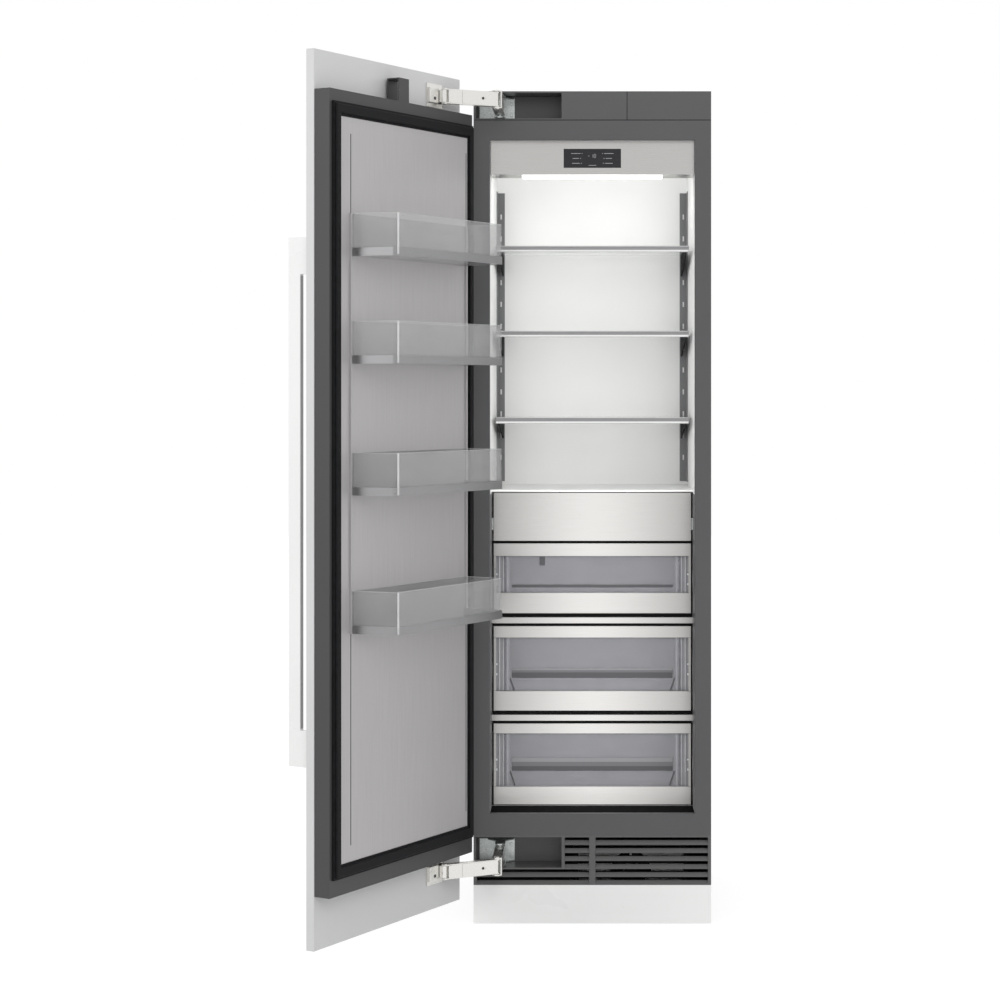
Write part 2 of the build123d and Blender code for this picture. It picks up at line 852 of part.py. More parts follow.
def control_header():
    """Folded header across the top of the opening, its display and the light under it."""
    header_half = opening_half - header_gap
    display_z = opening_top - display_drop
    with BuildPart() as header:
        with BuildSketch(across(-header_half)):
            area(header_setback, header_setback + header_depth, header_bottom, opening_top)
        extrude(amount=2 * header_half)
        offset(amount=-header_sheet, openings=header.faces().sort_by(Axis.Z)[-1])
        with BuildSketch(front(header_setback)):
            with Locations((0, display_z)):
                Rectangle(display_width, display_height)
        extrude(amount=-header_sheet, mode=Mode.SUBTRACT)
    save(header, "control_header")

    with BuildPart() as display:
        with BuildSketch(front(header_setback - display_proud)):
            with Locations((0, display_z)):
                Rectangle(display_width, display_height)
        extrude(amount=-display_thickness)
    save(display, "display")

    with BuildPart() as light_panel:
        with BuildSketch(level(header_bottom)):
            with Locations((0, header_setback + header_depth / 2)):
                Rectangle(light_width, light_depth)
        extrude(amount=-light_thickness)
        chamfer(light_panel.faces().sort_by(Axis.Z)[0].edges(), length=light_edge)
    save(light_panel, "light_panel")


def shelf_tracks():
    """Slotted tracks in the back corners that the shelf brackets hang in."""
    bottom = deck_top + track_gap
    top = header_bottom - track_gap
    slots = int((top - bottom) / track_slot_pitch) - 1
    with BuildPart() as tracks:
        with BuildSketch(level(bottom)):
            for side in (-1, 1):
                wall = side * opening_half
                area(wall, wall - side * track_sheet, duct_front - track_side_leg, duct_front)
                area(wall, wall - side * track_back_leg, duct_front - track_sheet, duct_front)
        extrude(amount=top - bottom)
        with BuildSketch(front(duct_front)):
            with Locations((0, (bottom + top) / 2)):
                with GridLocations(2 * opening_half - track_back_leg, track_slot_pitch, 2, slots):
                    Rectangle(track_slot_width, track_slot_height)
        extrude(amount=track_sheet, mode=Mode.SUBTRACT)
    save(tracks, "shelf_tracks")


def shelves():
    """Glass shelves with a steel trim along the front and a pair of brackets each."""
    back = duct_front - track_sheet
    for number, top in enumerate(shelf_tops, start=1):
        with BuildPart() as glass:
            with BuildSketch(level(top - shelf_glass)):
                area(-shelf_half, shelf_half, fronts_setback + shelf_trim_wall, back - fit_gap)
            extrude(amount=shelf_glass)
        save(glass, f"shelf_glass_{number}")

    with BuildPart() as trims:
        with BuildSketch(across(-shelf_half)):
            for top in shelf_tops:
                under = top - shelf_glass
                foot = top - shelf_trim_height
                area(fronts_setback, fronts_setback + shelf_trim_wall, foot, top)
                area(fronts_setback, fronts_setback + shelf_trim_depth, under - shelf_trim_wall, under)
                area(fronts_setback, fronts_setback + shelf_trim_foot, foot, foot + shelf_trim_wall)
        extrude(amount=2 * shelf_half)
    save(trims, "shelf_trims")

    bracket_x = shelf_half - bracket_inset - bracket_sheet
    start = fronts_setback + shelf_trim_depth
    with BuildPart() as brackets:
        with BuildSketch(across(-bracket_x - bracket_sheet / 2), across(bracket_x - bracket_sheet / 2)):
            for top in shelf_tops:
                under = top - shelf_glass
                outline((start, under), (start, under - bracket_tip_height),
                        (back - bracket_root_depth, under - bracket_root_height),
                        (back, under - bracket_root_height), (back, under))
        extrude(amount=bracket_sheet)
    save(brackets, "shelf_brackets")


def deck_and_rails():
    """Deck over the ice drawer, and the cross rails between the drawers."""
    with BuildPart() as deck:
        with BuildSketch(level(deck_top - deck_thickness)):
            area(-opening_half, opening_half, fronts_setback + shelf_trim_wall, duct_front)
        extrude(amount=deck_thickness)
        nose = deck.edges().filter_by(Axis.X).group_by(Axis.Y)[0]
        fillet(nose, radius=deck_nose)
    save(deck, "ice_deck")

    with BuildPart() as rails:
        with BuildSketch(across(-opening_half)):
            for bottom in drawer_bottoms[1:]:
                top = bottom - rail_drop
                area(fronts_setback, fronts_setback + rail_depth, top - rail_height, top)
                area(fronts_setback + shelf_trim_wall, fronts_setback + rail_depth,
                     top - rail_height + shelf_trim_wall, top - shelf_trim_wall, mode=Mode.SUBTRACT)
        extrude(amount=2 * opening_half)
    save(rails, "cross_rails")


def ice_maker():
    """Ice maker under the deck, with its row of moulds open towards the front."""
    top = deck_top - deck_thickness
    back = duct_front - ice_maker_setback
    cell_pitch = (ice_maker_width - ice_cell_wall) / ice_cells
    with BuildPart() as maker:
        with BuildSketch(level(top - ice_maker_height)):
            with Locations((0, back - ice_maker_depth / 2)):
                Rectangle(ice_maker_width, ice_maker_depth)
        extrude(amount=ice_maker_height)
        chamfer(maker.edges().filter_by(Axis.Z), length=ice_maker_corner)
        with BuildSketch(front(back - ice_maker_depth)):
            with Locations((0, top - ice_maker_height / 2)):
                with GridLocations(cell_pitch, 0, ice_cells, 1):
                    Rectangle(cell_pitch - ice_cell_wall, ice_cell_height)
        extrude(amount=ice_cell_wall - ice_maker_depth, mode=Mode.SUBTRACT)
    save(maker, "ice_maker")


def channel_pair(outer, depth, z, half_height):
    """Adds a C profile beside each wall, open towards the cabinet's middle, to the sketch being drawn."""
    for side in (-1, 1):
        area(side * outer, side * (outer - depth), z - half_height, z + half_height)
        area(side * (outer - slide_wall), side * (outer - depth),
             z - half_height + slide_wall, z + half_height - slide_wall, mode=Mode.SUBTRACT)


def tub(name, bottom, top, start, stepped):
    """Clear tub with bevelled corners and a runner along each side, inside the telescopes."""
    z = (bottom + top) / 2
    with BuildPart() as box:
        with BuildSketch(across(-tub_half)):
            area(start, tub_back, bottom, top)
            if stepped:
                # The back of the floor is raised in a step.
                with BuildSketch(mode=Mode.SUBTRACT):
                    outline((tub_back, bottom), (tub_back, bottom + tub_step_height),
                            (tub_back - tub_step_depth, bottom + tub_step_height),
                            (tub_back - tub_step_depth - tub_step_slope, bottom))
        extrude(amount=2 * tub_half)
        chamfer(box.edges().filter_by(Axis.Z), length=tub_corner)
        offset(amount=-tub_wall, openings=box.faces().sort_by(Axis.Z)[-1])
        with BuildSketch(front(slide_start + 2 * slide_inner_tuck)):
            for side in (-1, 1):
                area(side * (tub_half - tub_wall / 2), side * runner_outer,
                     z - runner_height / 2, z + runner_height / 2)
        extrude(amount=slide_start + 2 * slide_inner_tuck + tub_corner - tub_back)
    save(box, f"{name}_tub")


def drawer_front(name, bottom, top, top_band, bottom_band):
    """Steel frame round the tub's window: a band above and below, and a post at each side."""
    window_bottom = bottom + bottom_band
    window_top = top - top_band
    with BuildPart() as frame:
        with BuildSketch(front(fronts_setback)):
            area(-drawer_half, drawer_half, bottom, top)
            area(drawer_post - drawer_half, drawer_half - drawer_post, window_bottom, window_top,
                 mode=Mode.SUBTRACT)
        extrude(amount=-drawer_front_depth)
        # The posts stand back from the bands, and the top band is undercut for the fingers.
        with BuildSketch(front(fronts_setback)):
            for side in (-1, 1):
                area(side * drawer_half, side * (drawer_half - drawer_post), window_bottom, window_top)
        extrude(amount=-post_setback, mode=Mode.SUBTRACT)
        with BuildSketch(across(-drawer_half)):
            area(fronts_setback + ice_sheet, tub_front, top - finger_height, top - ice_sheet)
        extrude(amount=2 * drawer_half, mode=Mode.SUBTRACT)
        lips = frame.edges().filter_by(Axis.X).group_by(Axis.Y)[0]
        chamfer(lips, length=lip_edge)
    save(frame, f"{name}_front")


def ice_drawer_front(tub_top):
    """Folded steel panel of the ice drawer, with a plate behind it that closes onto the tub."""
    back = fronts_setback + ice_front_depth
    with BuildPart() as panel:
        with BuildSketch(across(-drawer_half)):
            area(fronts_setback, back, ice_bottom, ice_top)
            area(fronts_setback + ice_sheet, back, ice_bottom + ice_sheet, ice_top - ice_sheet,
                 mode=Mode.SUBTRACT)
        extrude(amount=2 * drawer_half)
        with BuildSketch(front(back)):
            area(-tub_half, tub_half, ice_bottom, tub_top)
        extrude(amount=ice_sheet)
    save(panel, "ice_drawer_front")


def drawers():
    """Three drawers and the ice drawer, each on a pair of telescopic slides."""
    ice_tub_bottom = ice_bottom + tub_floor_gap
    names = [f"drawer_{number}" for number in range(1, len(drawer_heights) + 1)]
    bottoms = [bottom + tub_floor_gap for bottom in drawer_bottoms]
    tops = [top - tub_lid_gap for top in drawer_tops]
    tubs = list(zip(names, bottoms, tops))
    tubs.append(("ice_drawer", ice_tub_bottom, ice_tub_bottom + ice_tub_height))

    with BuildPart() as rails:
        with BuildSketch(front(slide_start)):
            for _, bottom, top in tubs:
                channel_pair(opening_half, slide_outer_depth, (bottom + top) / 2, slide_outer_height / 2)
        extrude(amount=-slide_length)
    save(rails, "slide_rails")

    for name, bottom, top in tubs:
        with BuildPart() as telescopes:
            with BuildSketch(front(slide_start + slide_inner_tuck)):
                channel_pair(telescope_outer, telescope_depth, (bottom + top) / 2, telescope_half_height)
            extrude(amount=slide_inner_tuck - slide_length)
        save(telescopes, f"{name}_slides")

    for name, bottom, top in tubs[:-1]:
        tub(name, bottom, top, tub_front, stepped=True)
    tub(*tubs[-1], fronts_setback + ice_front_depth, stepped=False)

    bands = zip(names, drawer_bottoms, drawer_tops, drawer_top_bands, drawer_bottom_bands)
    for name, bottom, top, top_band, bottom_band in bands:
        drawer_front(name, bottom, top, top_band, bottom_band)
    ice_drawer_front(ice_tub_bottom + ice_tub_height)


def door_skin():
    """Overlay panel, steel door pan with the bracket on its top edge, and the foam in the pan."""
    with BuildPart() as overlay_panel:
        with BuildSketch(door_face(-panel_thickness)):
            area(0, panel_width, panel_bottom, panel_top)
        extrude(amount=-panel_thickness)
        chamfer(overlay_panel.edges(), length=panel_edge)
    save(overlay_panel, "overlay_panel")

    inside = (door_margin + door_wall, pan_right - door_wall, door_bottom + door_wall, door_top - door_wall)
    tab_left = panel_width / 2 + tab_offset - tab_width / 2
    with BuildPart() as door_pan:
        with BuildSketch(door_face(0)):
            area(door_margin, pan_right, door_bottom, door_top)
        extrude(amount=-door_depth)
        with BuildSketch(door_face(door_wall)):
            area(*inside)
        extrude(amount=2 * door_wall - door_depth, mode=Mode.SUBTRACT)
        with BuildSketch(door_face(door_depth - door_wall)):
            area(plate_left, plate_right, plate_bottom, plate_top)
        extrude(amount=-door_wall, mode=Mode.SUBTRACT)
        # Bracket that holds the overlay panel upright
        with BuildSketch(door_section(tab_left)):
            area(tab_setback, door_depth, door_top, door_top + tab_height)
            area(tab_setback + tab_sheet, door_depth - tab_sheet, door_top, door_top + tab_height - tab_sheet,
                 mode=Mode.SUBTRACT)
            area(0, tab_setback, door_top, door_top + tab_sheet)
        extrude(amount=tab_width)
    save(door_pan, "door_pan")

    with BuildPart() as door_insulation:
        with BuildSketch(door_face(door_wall)):
            area(*inside)
        extrude(amount=2 * door_wall - door_depth)
        with BuildSketch(door_face(door_depth - door_wall)):
            area(plate_left + liner_sheet, plate_right - liner_sheet,
                 plate_bottom + liner_sheet, plate_top - liner_sheet)
        extrude(amount=liner_sheet - door_wall - liner_plate)
    save(door_insulation, "door_insulation")


def door_lining():
    """Steel inner plate of the door with the tracks for its bins, and the gasket round it."""
    with BuildPart() as door_liner:
        with BuildSketch(door_face(door_depth - door_wall)):
            area(plate_left, plate_right, plate_bottom, plate_top)
        extrude(amount=-door_wall - liner_plate)
        fillet(door_liner.faces().sort_by(into_door)[-1].edges(), radius=liner_edge)
        with BuildSketch(door_face(door_depth - door_wall)):
            area(plate_left + liner_sheet, plate_right - liner_sheet,
                 plate_bottom + liner_sheet, plate_top - liner_sheet)
        extrude(amount=liner_sheet - door_wall - liner_plate, mode=Mode.SUBTRACT)
        with BuildSketch(door_face(bin_back)):
            for edge in (bin_left - bin_track_width, bin_right):
                area(edge, edge + bin_track_width, bin_bottoms[0], bin_bottoms[-1] + bin_height)
        extrude(amount=-bin_track_depth)
    save(door_liner, "door_liner")

    with BuildPart() as gasket:
        with BuildSketch(door_face(door_depth)):
            area(gasket_left, gasket_right, gasket_bottom, gasket_top)
            area(plate_left, plate_right, plate_bottom, plate_top, mode=Mode.SUBTRACT)
        extrude(amount=-gasket_height / 2)
        with BuildSketch(door_face(door_depth + gasket_height / 2)):
            area(gasket_left + gasket_bead, gasket_right - gasket_bead,
                 gasket_bottom + gasket_bead, gasket_top - gasket_bead)
            area(plate_left - gasket_bead, plate_right + gasket_bead,
                 plate_bottom - gasket_bead, plate_top + gasket_bead, mode=Mode.SUBTRACT)
        extrude(amount=-gasket_height / 2)
        fillet(gasket.faces().sort_by(into_door)[-1].edges(), radius=gasket_crown)
    save(gasket, "gasket")


def door_bins():
    """Clear bins on the door's inner plate, each with a steel band round its foot."""
    left = bin_left + bin_trim_sheet + fit_gap
    right = bin_right - bin_trim_sheet - fit_gap
    front_edge = bin_reach - bin_trim_sheet
    with BuildSketch() as bin_profile:
        outline((left, bin_back), (right, bin_back), (right - bin_slope, front_edge), (left, front_edge))
        fillet(bin_profile.vertices().sort_by(Axis.Y)[-2:], radius=bin_corner)
    with BuildSketch() as band_profile:
        offset(bin_profile.sketch, amount=bin_trim_sheet, kind=Kind.INTERSECTION)
        add(bin_profile.sketch, mode=Mode.SUBTRACT)
        area(0, panel_width, 0, bin_back, mode=Mode.SUBTRACT)

    for number, bottom in enumerate(bin_bottoms, start=1):
        with BuildPart() as door_bin:
            with BuildSketch(door_level(bottom)):
                add(bin_profile.sketch)
            extrude(amount=bin_height)
            offset(amount=-bin_wall, openings=door_bin.faces().sort_by(Axis.Z)[-1])
        save(door_bin, f"door_bin_{number}")

    with BuildPart() as bin_trims:
        with BuildSketch(*[door_level(bottom) for bottom in bin_bottoms]):
            add(band_profile.sketch)
        extrude(amount=bin_trim_height)
    save(bin_trims, "bin_trims")


def door_handle():
    """Long square bar on two feet near the panel's free edge."""
    foot_face = -panel_thickness
    bar_back = foot_face - handle_stand_off
    bar_front = bar_back - handle_depth
    with BuildPart() as handle:
        with BuildSketch(door_section(panel_width - handle_edge_gap - handle_width)):
            area(bar_front, foot_face, handle_bottom, handle_top)
            area(bar_back, foot_face, handle_bottom + handle_foot, handle_top - handle_foot,
                 mode=Mode.SUBTRACT)
        extrude(amount=handle_width)
        grip = handle.edges().filter_by(Axis.Z).sort_by(into_door)[:2]
        fillet(grip, radius=handle_edge)
    save(handle, "handle")


def hinge_arm(start, end, half_width, half_height, plate, web_end, centre, name):
    """Hinge arm: a channel with its web on the outside, bored at its start and with a pin at its end."""
    dx = end[0] - start[0]
    dy = end[1] - start[1]
    length = hypot(dx, dy)
    margin = 2 * half_width
    foot = Plane(origin=(*start, centre - half_height), x_dir=(dx, dy, 0), z_dir=(0, 0, 1))
    with BuildPart() as arm:
        with BuildSketch(foot) as plan:
            with Locations((length / 2, 0)):
                Rectangle(length + 2 * half_width, 2 * half_width)
            chamfer(plan.vertices(), length=arm_corner)
        extrude(amount=2 * half_height)
        # What stays between the top and bottom plates is the web, clear of both pivots.
        with BuildSketch(foot.offset(plate)):
            area(-margin, length + margin, -margin, half_width - plate)
            area(web_end, length + margin, 0, margin)
            area(-margin, half_width - fold_room, 0, margin)
        extrude(amount=2 * half_height - 2 * plate, mode=Mode.SUBTRACT)
        with BuildSketch(foot):
            disc(0, 0, pin_radius + running_clearance)
        extrude(amount=2 * half_height, mode=Mode.SUBTRACT)
        with BuildSketch(foot.offset(plate)):
            disc(length, 0, pin_radius)
        extrude(amount=2 * half_height - 2 * plate)
    save(arm, name)


def hinge_brackets():
    """Brackets on the pockets' back walls, each with two ears and the pivot pin of the inner arm."""
    x, y = cabinet_pivot
    left = pocket_left + bracket_margin
    right = left + bracket_width
    back = pocket_depth - bracket_plate
    waist = back - ear_flare
    with BuildPart() as brackets:
        for centre in hinge_centres:
            bottom = centre - bracket_half_height
            top = centre + bracket_half_height
            with BuildSketch(front(back)):
                area(left, right, bottom, top)
            extrude(amount=-bracket_plate)
            with BuildSketch(level(bottom), level(top - bracket_plate)):
                outline((x - ear_radius, y), (x - ear_radius, waist), (x - ear_spread, back),
                        (x + ear_spread, back), (x + ear_radius, waist), (x + ear_radius, y),
                        (x + ear_tip, y - ear_radius), (x - ear_tip, y - ear_radius))
            extrude(amount=bracket_plate)
            with BuildSketch(level(bottom)):
                disc(x, y, pin_radius)
            extrude(amount=2 * bracket_half_height)
    save(brackets, "hinge_brackets")


def door_hinge_plates():
    """Plates on the back of the overlay panel, each with a bored lug between the outer arm's plates."""
    left = door_pivot[0] - door_plate_lead
    right = left + door_plate_width
    lug_half = outer_arm_half_height - outer_arm_plate - lug_gap
    with BuildPart() as plates:
        for centre in hinge_centres:
            with BuildSketch(door_face(0)):
                area(left, right, centre - bracket_half_height, centre + bracket_half_height)
            extrude(amount=-bracket_plate)
            with BuildSketch(door_level(centre - lug_half)):
                x, y = door_pivot
                outline((x - lug_radius, bracket_plate / 2), (x + lug_radius, bracket_plate / 2),
                        (x + lug_radius, y), (x + lug_radius / 2, y + lug_radius),
                        (x - lug_radius / 2, y + lug_radius), (x - lug_radius, y))
                disc(x, y, pin_radius + running_clearance, mode=Mode.SUBTRACT)
            extrude(amount=2 * lug_half)
    save(plates, "door_hinge_plates")


def hinges():
    """Two folding hinges, each of a bracket, an inner arm, an outer arm and a plate on the door."""
    door_pin = door_base.from_local_coords((*door_pivot, 0))
    door_point = (door_pin.X, door_pin.Y)
    knee = elbow(cabinet_pivot, door_point, inner_arm_length, outer_arm_length)
    hinge_brackets()
    for side, centre in zip(("lower", "upper"), hinge_centres):
        hinge_arm(cabinet_pivot, knee, inner_arm_half_width, inner_arm_half_height, inner_arm_plate,
                  inner_arm_length + inner_arm_half_width, centre, f"{side}_inner_arm")
        hinge_arm(knee, door_point, outer_arm_half_width, outer_arm_half_height, outer_arm_plate,
                  outer_arm_length - web_setback, centre, f"{side}_outer_arm")
    door_hinge_plates()


outer_case()
insulation_and_liner()
top_fascia()
vent_grille()
toe_kick()
base_pan()
feet_and_rollers()
water_inlet()
compressor()
condenser()
fan_shroud()
fans()
evaporator()
duct_panel()
control_header()
shelf_tracks()
shelves()
deck_and_rails()
ice_maker()
drawers()
door_skin()
door_lining()
door_bins()
door_handle()
hinges()
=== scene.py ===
import json
import math

import bmesh
import bpy
from mathutils import Matrix, Vector


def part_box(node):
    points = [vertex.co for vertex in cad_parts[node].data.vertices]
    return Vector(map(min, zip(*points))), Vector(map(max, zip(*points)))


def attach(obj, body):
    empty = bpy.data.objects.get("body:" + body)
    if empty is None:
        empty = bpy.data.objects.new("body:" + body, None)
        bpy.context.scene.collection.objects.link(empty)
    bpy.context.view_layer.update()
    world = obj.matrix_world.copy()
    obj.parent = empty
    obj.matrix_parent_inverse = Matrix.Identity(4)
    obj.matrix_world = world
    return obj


bl_info = {
    "name": "Built-in Freezer Column",
    "version": (1, 0, 0),
    "blender": (4, 5, 0),
    "location": "View3D > Sidebar > Freezer",
    "description": "Dresses a panel-fronted freezer column with its door open, in a white studio",
    "category": "Object",
}

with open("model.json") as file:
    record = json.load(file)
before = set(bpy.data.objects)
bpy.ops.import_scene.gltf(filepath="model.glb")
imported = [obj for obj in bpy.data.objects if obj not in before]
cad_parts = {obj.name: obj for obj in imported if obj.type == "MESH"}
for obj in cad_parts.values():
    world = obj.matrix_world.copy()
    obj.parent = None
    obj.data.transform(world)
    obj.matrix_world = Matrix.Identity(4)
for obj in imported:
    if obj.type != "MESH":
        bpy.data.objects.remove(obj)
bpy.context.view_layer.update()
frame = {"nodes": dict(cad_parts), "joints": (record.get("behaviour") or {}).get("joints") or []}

# The door stands open at this angle, so its own directions are turned from the cabinet's.
DOOR_ANGLE = math.radians(-120)
# Back of the overlay panel at its hinge edge, with the door open
DOOR_CORNER = (-0.3313, -0.0852)

# Length, depth and height of the brush strokes in the finishes that are used on several pieces
ACROSS_FRONT = (0.09, 0.00035, 0.00035)
ALONG_TRIM = (0.12, 0.0006, 0.0004)


class FreezerColours(bpy.types.PropertyGroup):
    """Colours of the finishes"""

    cabinet_grey: bpy.props.FloatVectorProperty(
        name="Cabinet grey", description="Satin dark grey of the face frame and the fascia",
        subtype="COLOR", size=3, min=0, max=1, default=(0.090, 0.090, 0.093))
    door_grey: bpy.props.FloatVectorProperty(
        name="Door grey", description="Satin dark grey of the door's steel pan",
        subtype="COLOR", size=3, min=0, max=1, default=(0.050, 0.049, 0.051))
    vent_grey: bpy.props.FloatVectorProperty(
        name="Vent grey", description="Grey of the louvred vent",
        subtype="COLOR", size=3, min=0, max=1, default=(0.105, 0.104, 0.104))
    interior_white: bpy.props.FloatVectorProperty(
        name="Interior white", description="Moulded liner and back panel",
        subtype="COLOR", size=3, min=0, max=1, default=(0.86, 0.86, 0.85))
    lacquer_white: bpy.props.FloatVectorProperty(
        name="Lacquer white", description="White lacquer of the handle",
        subtype="COLOR", size=3, min=0, max=1, default=(0.86, 0.86, 0.855))
    kick_white: bpy.props.FloatVectorProperty(
        name="Kick white", description="White paint of the toe kick",
        subtype="COLOR", size=3, min=0, max=1, default=(0.95, 0.95, 0.945))
    panel_lacquer: bpy.props.FloatVectorProperty(
        name="Panel lacquer", description="Pale grey of the overlay panel",
        subtype="COLOR", size=3, min=0, max=1, default=(0.64, 0.64, 0.645))
    steel: bpy.props.FloatVectorProperty(
        name="Brushed steel", description="Drawer bands, cross rails and header",
        subtype="COLOR", size=3, min=0, max=1, default=(0.62, 0.61, 0.595))
    door_steel: bpy.props.FloatVectorProperty(
        name="Door steel", description="Vertically brushed inner plate of the door",
        subtype="COLOR", size=3, min=0, max=1, default=(0.50, 0.487, 0.492))
    trim_steel: bpy.props.FloatVectorProperty(
        name="Trim steel", description="Satin steel of the bin trims and the shelf trims",
        subtype="COLOR", size=3, min=0, max=1, default=(0.31, 0.31, 0.315))
    nickel: bpy.props.FloatVectorProperty(
        name="Nickel", description="Plated arms and door plates of the hinges",
        subtype="COLOR", size=3, min=0, max=1, default=(0.78, 0.77, 0.74))
    zinc: bpy.props.FloatVectorProperty(
        name="Zinc", description="Zinc plate of brackets, slides and feet",
        subtype="COLOR", size=3, min=0, max=1, default=(0.70, 0.74, 0.73))
    smoke: bpy.props.FloatVectorProperty(
        name="Smoky plastic", description="Tint of the clear drawer tubs",
        subtype="COLOR", size=3, min=0, max=1, default=(0.42, 0.42, 0.447))
    clear: bpy.props.FloatVectorProperty(
        name="Clear plastic", description="Tint of the door bins",
        subtype="COLOR", size=3, min=0, max=1, default=(0.58, 0.58, 0.585))


class FreezerSizes(bpy.types.PropertyGroup):
    """Sizes of the pieces that are modelled here"""

    screw_radius: bpy.props.FloatProperty(
        name="Screw head radius", description="Radius of the pan heads on the hinge brackets",
        unit="LENGTH", default=0.0045, min=0.002, max=0.01)
    screw_height: bpy.props.FloatProperty(
        name="Screw head height", description="Height of the pan heads",
        unit="LENGTH", default=0.0022, min=0.001, max=0.005)
    bracket_half: bpy.props.FloatProperty(
        name="Half bracket height", description="Half the height of a hinge bracket",
        unit="LENGTH", default=0.029, min=0.01, max=0.06)
    # Thickness of the dark strips that are painted shade in the gaps round each drawer front
    gap_shade_depth: bpy.props.FloatProperty(
        name="Shade strip depth", description="Thickness of the dark strips painted as shade round each drawer front",
        unit="LENGTH", default=0.003, min=0.001, max=0.005)
    cover_thickness: bpy.props.FloatProperty(
        name="Arm cover thickness", description="Thickness of the pressed covers on the outer arms",
        unit="LENGTH", default=0.0016, min=0.0005, max=0.004)
    mark_height: bpy.props.FloatProperty(
        name="Digit height", description="Height of the digits on the display",
        unit="LENGTH", default=0.009, min=0.004, max=0.03)


class StudioLevels(bpy.types.PropertyGroup):
    """Light and view of the studio"""

    room_light: bpy.props.FloatProperty(
        name="Room light", description="Strength of the even light from all round",
        default=0.88, min=0, max=3)
    front_power: bpy.props.FloatProperty(
        name="Front softbox", description="Power of the softbox above the camera, in watts",
        default=42, min=0, max=500)
    side_power: bpy.props.FloatProperty(
        name="Side softbox", description="Power of the softbox on the left, in watts",
        default=16, min=0, max=500)
    interior_power: bpy.props.FloatProperty(
        name="Interior light", description="Power of the lamp under the header, in watts",
        default=0.72, min=0, max=50)
    fill_power: bpy.props.FloatProperty(
        name="Interior fill", description="Power of the soft fill in front of the shelves, in watts",
        default=2.0, min=0, max=10)
    view_distance: bpy.props.FloatProperty(
        name="View distance", description="Distance of the camera from the cabinet's front face",
        unit="LENGTH", default=5.65, min=2, max=12)
    view_height: bpy.props.FloatProperty(
        name="View height", description="Height of the camera above the floor",
        unit="LENGTH", default=1.355, min=0.2, max=3)


# Node helpers


def new_finish(name):
    """A material with its node tree and its surface shader."""
    material = bpy.data.materials.new(name)
    material.use_nodes = True
    tree = material.node_tree
    return material, tree, tree.nodes["Principled BSDF"]


def grain(tree, size, detail, roughness):
    """Noise on object coordinates, with grains of one size or of a size for each direction."""
    coordinates = tree.nodes.new("ShaderNodeTexCoord")
    mapping = tree.nodes.new("ShaderNodeMapping")
    mapping.vector_type = "TEXTURE"
    mapping.inputs["Scale"].default_value = size if isinstance(size, tuple) else (size,) * 3
    noise = tree.nodes.new("ShaderNodeTexNoise")
    noise.inputs["Scale"].default_value = 1.0
    noise.inputs["Detail"].default_value = detail
    noise.inputs["Roughness"].default_value = roughness
    tree.links.new(coordinates.outputs["Object"], mapping.inputs["Vector"])
    tree.links.new(mapping.outputs["Vector"], noise.inputs["Vector"])
    return noise.outputs["Fac"]


def spread(tree, value, low, high, low_out, high_out):
    """Maps a stretch of a pattern to a range of values."""
    node = tree.nodes.new("ShaderNodeMapRange")
    node.inputs["From Min"].default_value = low
    node.inputs["From Max"].default_value = high
    node.inputs["To Min"].default_value = low_out
    node.inputs["To Max"].default_value = high_out
    tree.links.new(value, node.inputs["Value"])
    return node.outputs["Result"]


def shades(tree, value, colour, lower, upper, low=0.35, high=0.65):
    """A colour that runs between two brightnesses of itself along a pattern."""
    node = tree.nodes.new("ShaderNodeValToRGB")
    node.color_ramp.elements[0].position = low
    node.color_ramp.elements[1].position = high
    node.color_ramp.elements[0].color = (*(min(1, c * lower) for c in colour), 1)
    node.color_ramp.elements[1].color = (*(min(1, c * upper) for c in colour), 1)
    tree.links.new(value, node.inputs["Fac"])
    return node.outputs["Color"]


def relief(tree, shader, height, strength, distance):
    """Bump from a pattern, joined to the shader's normal."""
    node = tree.nodes.new("ShaderNodeBump")
    node.inputs["Strength"].default_value = strength
    node.inputs["Distance"].default_value = distance
    tree.links.new(height, node.inputs["Height"])
    tree.links.new(node.outputs["Normal"], shader.inputs["Normal"])


def added(tree, first, second):
    """Sum of two values, kept between 0 and 1."""
    node = tree.nodes.new("ShaderNodeMath")
    node.operation = "ADD"
    node.use_clamp = True
    tree.links.new(first, node.inputs[0])
    tree.links.new(second, node.inputs[1])
    return node.outputs[0]


def seen_rays(tree):
    """One for rays that show a surface, also in metal and through glass, and zero for rays that light it."""
    path = tree.nodes.new("ShaderNodeLightPath")
    either = added(tree, path.outputs["Is Camera Ray"], path.outputs["Is Glossy Ray"])
    return added(tree, either, path.outputs["Is Transmission Ray"])


def brushed_metal(name, colour, stroke, rough=(0.24, 0.36), contrast=0.05):
    """Metal with fine scratches along the long side of the stroke, and a faint cloudiness."""
    material, tree, shader = new_finish(name)
    scratches = grain(tree, stroke, 3, 0.6)
    cloud = grain(tree, 0.35, 2, 0.5)
    colour_socket = shades(tree, scratches, colour, 1 - contrast, 1 + contrast)
    tree.links.new(colour_socket, shader.inputs["Base Color"])
    shader.inputs["Metallic"].default_value = 1.0
    scratched = spread(tree, scratches, 0.3, 0.7, *rough)
    clouded = spread(tree, cloud, 0.3, 0.7, -0.02, 0.03)
    tree.links.new(added(tree, scratched, clouded), shader.inputs["Roughness"])
    relief(tree, shader, scratches, 0.12, 0.0002)
    return material


